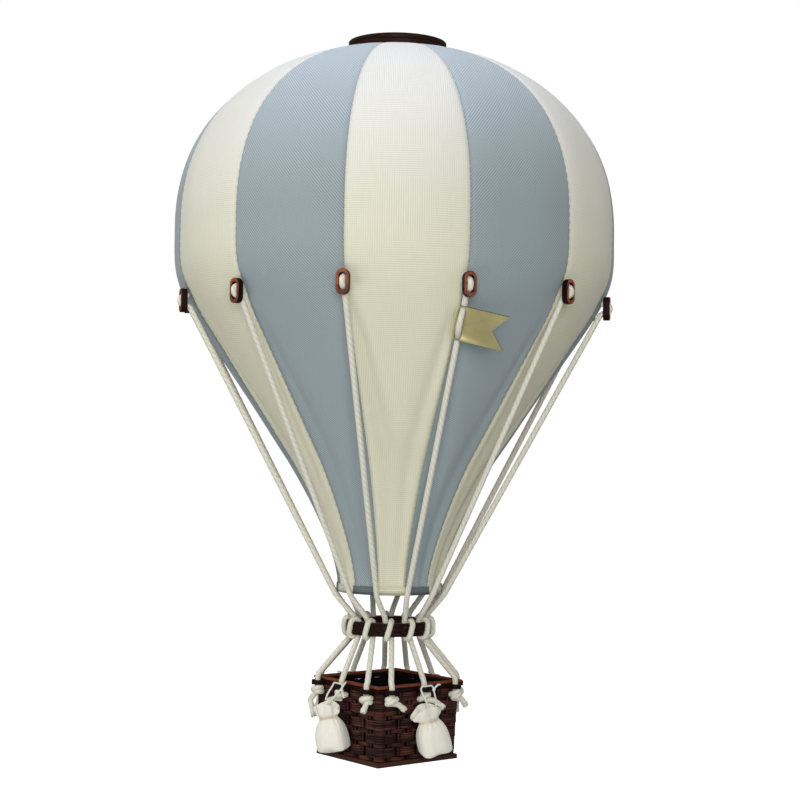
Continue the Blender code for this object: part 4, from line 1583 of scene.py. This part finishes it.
class BALLOON_OT_basket(bpy.types.Operator):
    """The basket's plywood: floor, ply with the ears, and rim"""

    bl_idname = "balloon.basket"
    bl_label = "Basket plates"

    def execute(self, context):
        wood = context.scene.balloon_wood
        # Columns: piece, CAD node, face colour, edge colour
        plates = (
            ("basket_base", "basket_floor", darker(wood.face, 0.5), wood.ply),
            ("ear_ply", "ear_frame", darker(wood.face, 0.16), wood.burnt),
            ("basket_lip", "basket_rim", wood.rim, wood.rim),
        )
        for name, node, face, edge in plates:
            material = wood_finish(f"{name}_wood", face, edge, edge, (1.0, 1.0))
            bm = plate_from(node)
            ease_edges(bm, wood.ease, segments=2, angle=40)
            settle(finished(name, bm, [material], angle=40), BODY, "dark_wood", node)
        return {"FINISHED"}


class BALLOON_OT_weave(bpy.types.Operator):
    """Reed woven round the stakes of the basket's four walls"""

    bl_idname = "balloon.weave"
    bl_label = "Basket weave"

    def execute(self, context):
        basket = context.scene.balloon_basket
        material = reed_finish("stained_reed", basket)
        dice = random.Random(7)
        bm = bmesh.new()
        for height, offsets, wide in weave_bands(basket):
            tall = basket.strand_up if wide else basket.thin_up
            outline = disc_outline(basket.strand_out, 8, tall / basket.strand_out)
            for offset in offsets:
                loop = strand_loop(height, basket, wide, offset, dice)
                sweep(bm, loop, outline, up=UP, closed=True)
        self.add_stakes(bm, basket)
        bmesh.ops.recalc_face_normals(bm, faces=bm.faces)
        # How far each point stands out, used for the painted shade in the hollows
        proud = bm.verts.layers.float.new("proud")
        for vert in bm.verts:
            out = max(vert.co.dot(at(side_azimuth(side), 1.0, 0.0)) for side in range(4))
            vert[proud] = ramp(out - wall_half(vert.co.z), -3.0 * MM, -0.2 * MM)
        walls = [f"basket_wall_{side + 1}" for side in range(4)]
        settle(finished("reed_walls", bm, [material]), BODY, "basket_weave", *walls)
        # The shell behind the weave is painted near-black as shade.
        dark = new_finish("painted_shade_shell", 0.9, shine=0.1)
        shader_of(dark).inputs["Base Color"].default_value = (*basket.shade_shell, 1.0)
        settle(finished("wall_shade_shell", self.shade_shell(), [dark], smooth=False), BODY, "basket_weave")
        return {"FINISHED"}

    def shade_shell(self):
        """A thin near-black shell behind the stakes, painted shade for the dark inside of the basket, so that
        no light shows through the weave.
        """
        lip = WALL_TOP + 0.25 * MM
        inner = SHADE_SHELL_DEPTH + SHADE_SHELL_THICK
        places = ((SHADE_SHELL_DEPTH, WALL_BOTTOM), (SHADE_SHELL_DEPTH, lip), (inner, lip), (inner, WALL_BOTTOM))
        outline = [((wall_half(height) - inset) * math.sqrt(2), height) for inset, height in places]
        bm = turned(outline, 4)
        bmesh.ops.rotate(bm, verts=bm.verts, cent=(0, 0, 0), matrix=Matrix.Rotation(BASKET_TURN, 3, "Z"))
        return bm

    def add_stakes(self, bm, basket):
        """Upright rods between the wide and the narrow bands."""
        depth = basket.stake + basket.strand_out
        for side in range(4):
            azimuth = side_azimuth(side)
            for column in range(-3, 5):
                points = []
                for i in range(6):
                    height = WALL_BOTTOM + (WALL_TOP - WALL_BOTTOM) * i / 5
                    half = wall_half(height) - depth
                    if column == 4:
                        points.append(at(azimuth, half - 1.6 * MM, height, half - 1.6 * MM))
                    else:
                        points.append(at(azimuth, half, height, column * basket.column))
                sweep(bm, points, disc_outline(basket.stake, 8))


class BALLOON_OT_pouches(bpy.types.Operator):
    """Four gathered cotton pouches on their strings"""

    bl_idname = "balloon.pouches"
    bl_label = "Pouches"

    def execute(self, context):
        pouch = context.scene.balloon_pouch
        cotton = pouch_finish("pouch_cotton", pouch)
        # The string's darker colour is painted shade in its grooves.
        thread = cotton_finish("pouch_thread", pouch.string, darker(pouch.string, 0.7))
        for side in range(4):
            body = f"pouch_{side + 1}"
            bag = finished(f"cotton_pouch_{side + 1}", pouch_shape(side, pouch), [cotton])
            filled_pouch(bag, pouch)
            hang_pouch(bag, side)
            finer = bag.modifiers.new("finer", "SUBSURF")
            finer.levels = 1
            finer.render_levels = 1
            settle(bag, body, "pouch_cotton", f"pouch_{side + 1}")
            bm = rope_mesh()
            runs, place = string_lines(side)
            for run in runs:
                points = relaxed(spaced(run, STRING_STEP), rounds=4)
                sweep(bm, points, disc_outline(STRING_RADIUS, 8))
            knot = bmesh.ops.create_icosphere(bm, subdivisions=2, radius=STRING_KNOT)["verts"]
            bmesh.ops.translate(bm, verts=knot, vec=place)
            bmesh.ops.recalc_face_normals(bm, faces=bm.faces)
            string = finished(f"cotton_string_{side + 1}", bm, [thread])
            settle(string, body, "pouch_cotton", f"pouch_string_{side + 1}")
        return {"FINISHED"}


class BALLOON_OT_tag(bpy.types.Operator):
    """A blank gold pennant threaded on the cord"""

    bl_idname = "balloon.tag"
    bl_label = "Pennant tag"

    def execute(self, context):
        tag = context.scene.balloon_tag
        place, down, across, out = tag_frame()
        bm = plate_from("pennant_tag")
        hoist = []
        near = 0.5 * MM
        for edge in bm.edges:
            run = edge.verts[1].co - edge.verts[0].co
            centre = (edge.verts[0].co + edge.verts[1].co) / 2 - place
            through = abs(run.normalized().dot(out)) > 0.99
            at_hoist = centre.dot(across) < -TAG_EDGE + near
            if through and at_hoist and abs(centre.dot(down)) > TAG_HOIST / 2 - near:
                hoist.append(edge)
        bevelled(bm, hoist, tag.corner, 6, clamp=False)
        ease_edges(bm, tag.ease, segments=2, angle=40)
        mark_cut_sides(bm, out)
        material = gold_finish("satin_gold", tag)
        settle(finished("gold_pennant", bm, [material], angle=25), BODY, "gold_tag", "pennant_tag")
        return {"FINISHED"}


SETTINGS = {
    "balloon_stage": StageSettings,
    "balloon_cord": CordSettings,
    "balloon_wood": WoodSettings,
    "balloon_cloth": ClothSettings,
    "balloon_basket": BasketSettings,
    "balloon_pouch": PouchSettings,
    "balloon_tag": TagSettings,
}
# In the order in which main builds: the camera and the cords come first
OPERATORS = (
    BALLOON_OT_stage,
    BALLOON_OT_stays,
    BALLOON_OT_crown,
    BALLOON_OT_gores,
    BALLOON_OT_hem,
    BALLOON_OT_toggles,
    BALLOON_OT_load_ring,
    BALLOON_OT_basket,
    BALLOON_OT_weave,
    BALLOON_OT_pouches,
    BALLOON_OT_tag,
)


class BALLOON_PT_panel(bpy.types.Panel):
    """Lists the balloon's pieces and their sizes and colours"""

    bl_idname = "BALLOON_PT_panel"
    bl_label = "Hot air balloon"
    bl_space_type = "VIEW_3D"
    bl_region_type = "UI"
    bl_category = "Balloon"

    def draw(self, context):
        for kind in OPERATORS:
            self.layout.operator(kind.bl_idname)
        for name, kinds in SETTINGS.items():
            box = self.layout.box()
            group = getattr(context.scene, name)
            for key in kinds.__annotations__:
                box.prop(group, key)


def register():
    for name, group in SETTINGS.items():
        bpy.utils.register_class(group)
        setattr(bpy.types.Scene, name, bpy.props.PointerProperty(type=group))
    for kind in (*OPERATORS, BALLOON_PT_panel):
        bpy.utils.register_class(kind)


def unregister():
    for kind in (BALLOON_PT_panel, *reversed(OPERATORS)):
        bpy.utils.unregister_class(kind)
    for name, group in reversed(SETTINGS.items()):
        delattr(bpy.types.Scene, name)
        bpy.utils.unregister_class(group)


def main():
    register()
    bpy.ops.balloon.stage()
    bpy.ops.balloon.stays()
    bpy.ops.balloon.crown()
    bpy.ops.balloon.gores()
    bpy.ops.balloon.hem()
    bpy.ops.balloon.toggles()
    bpy.ops.balloon.load_ring()
    bpy.ops.balloon.basket()
    bpy.ops.balloon.weave()
    bpy.ops.balloon.pouches()
    bpy.ops.balloon.tag()


if __name__ == "__main__":
    main()
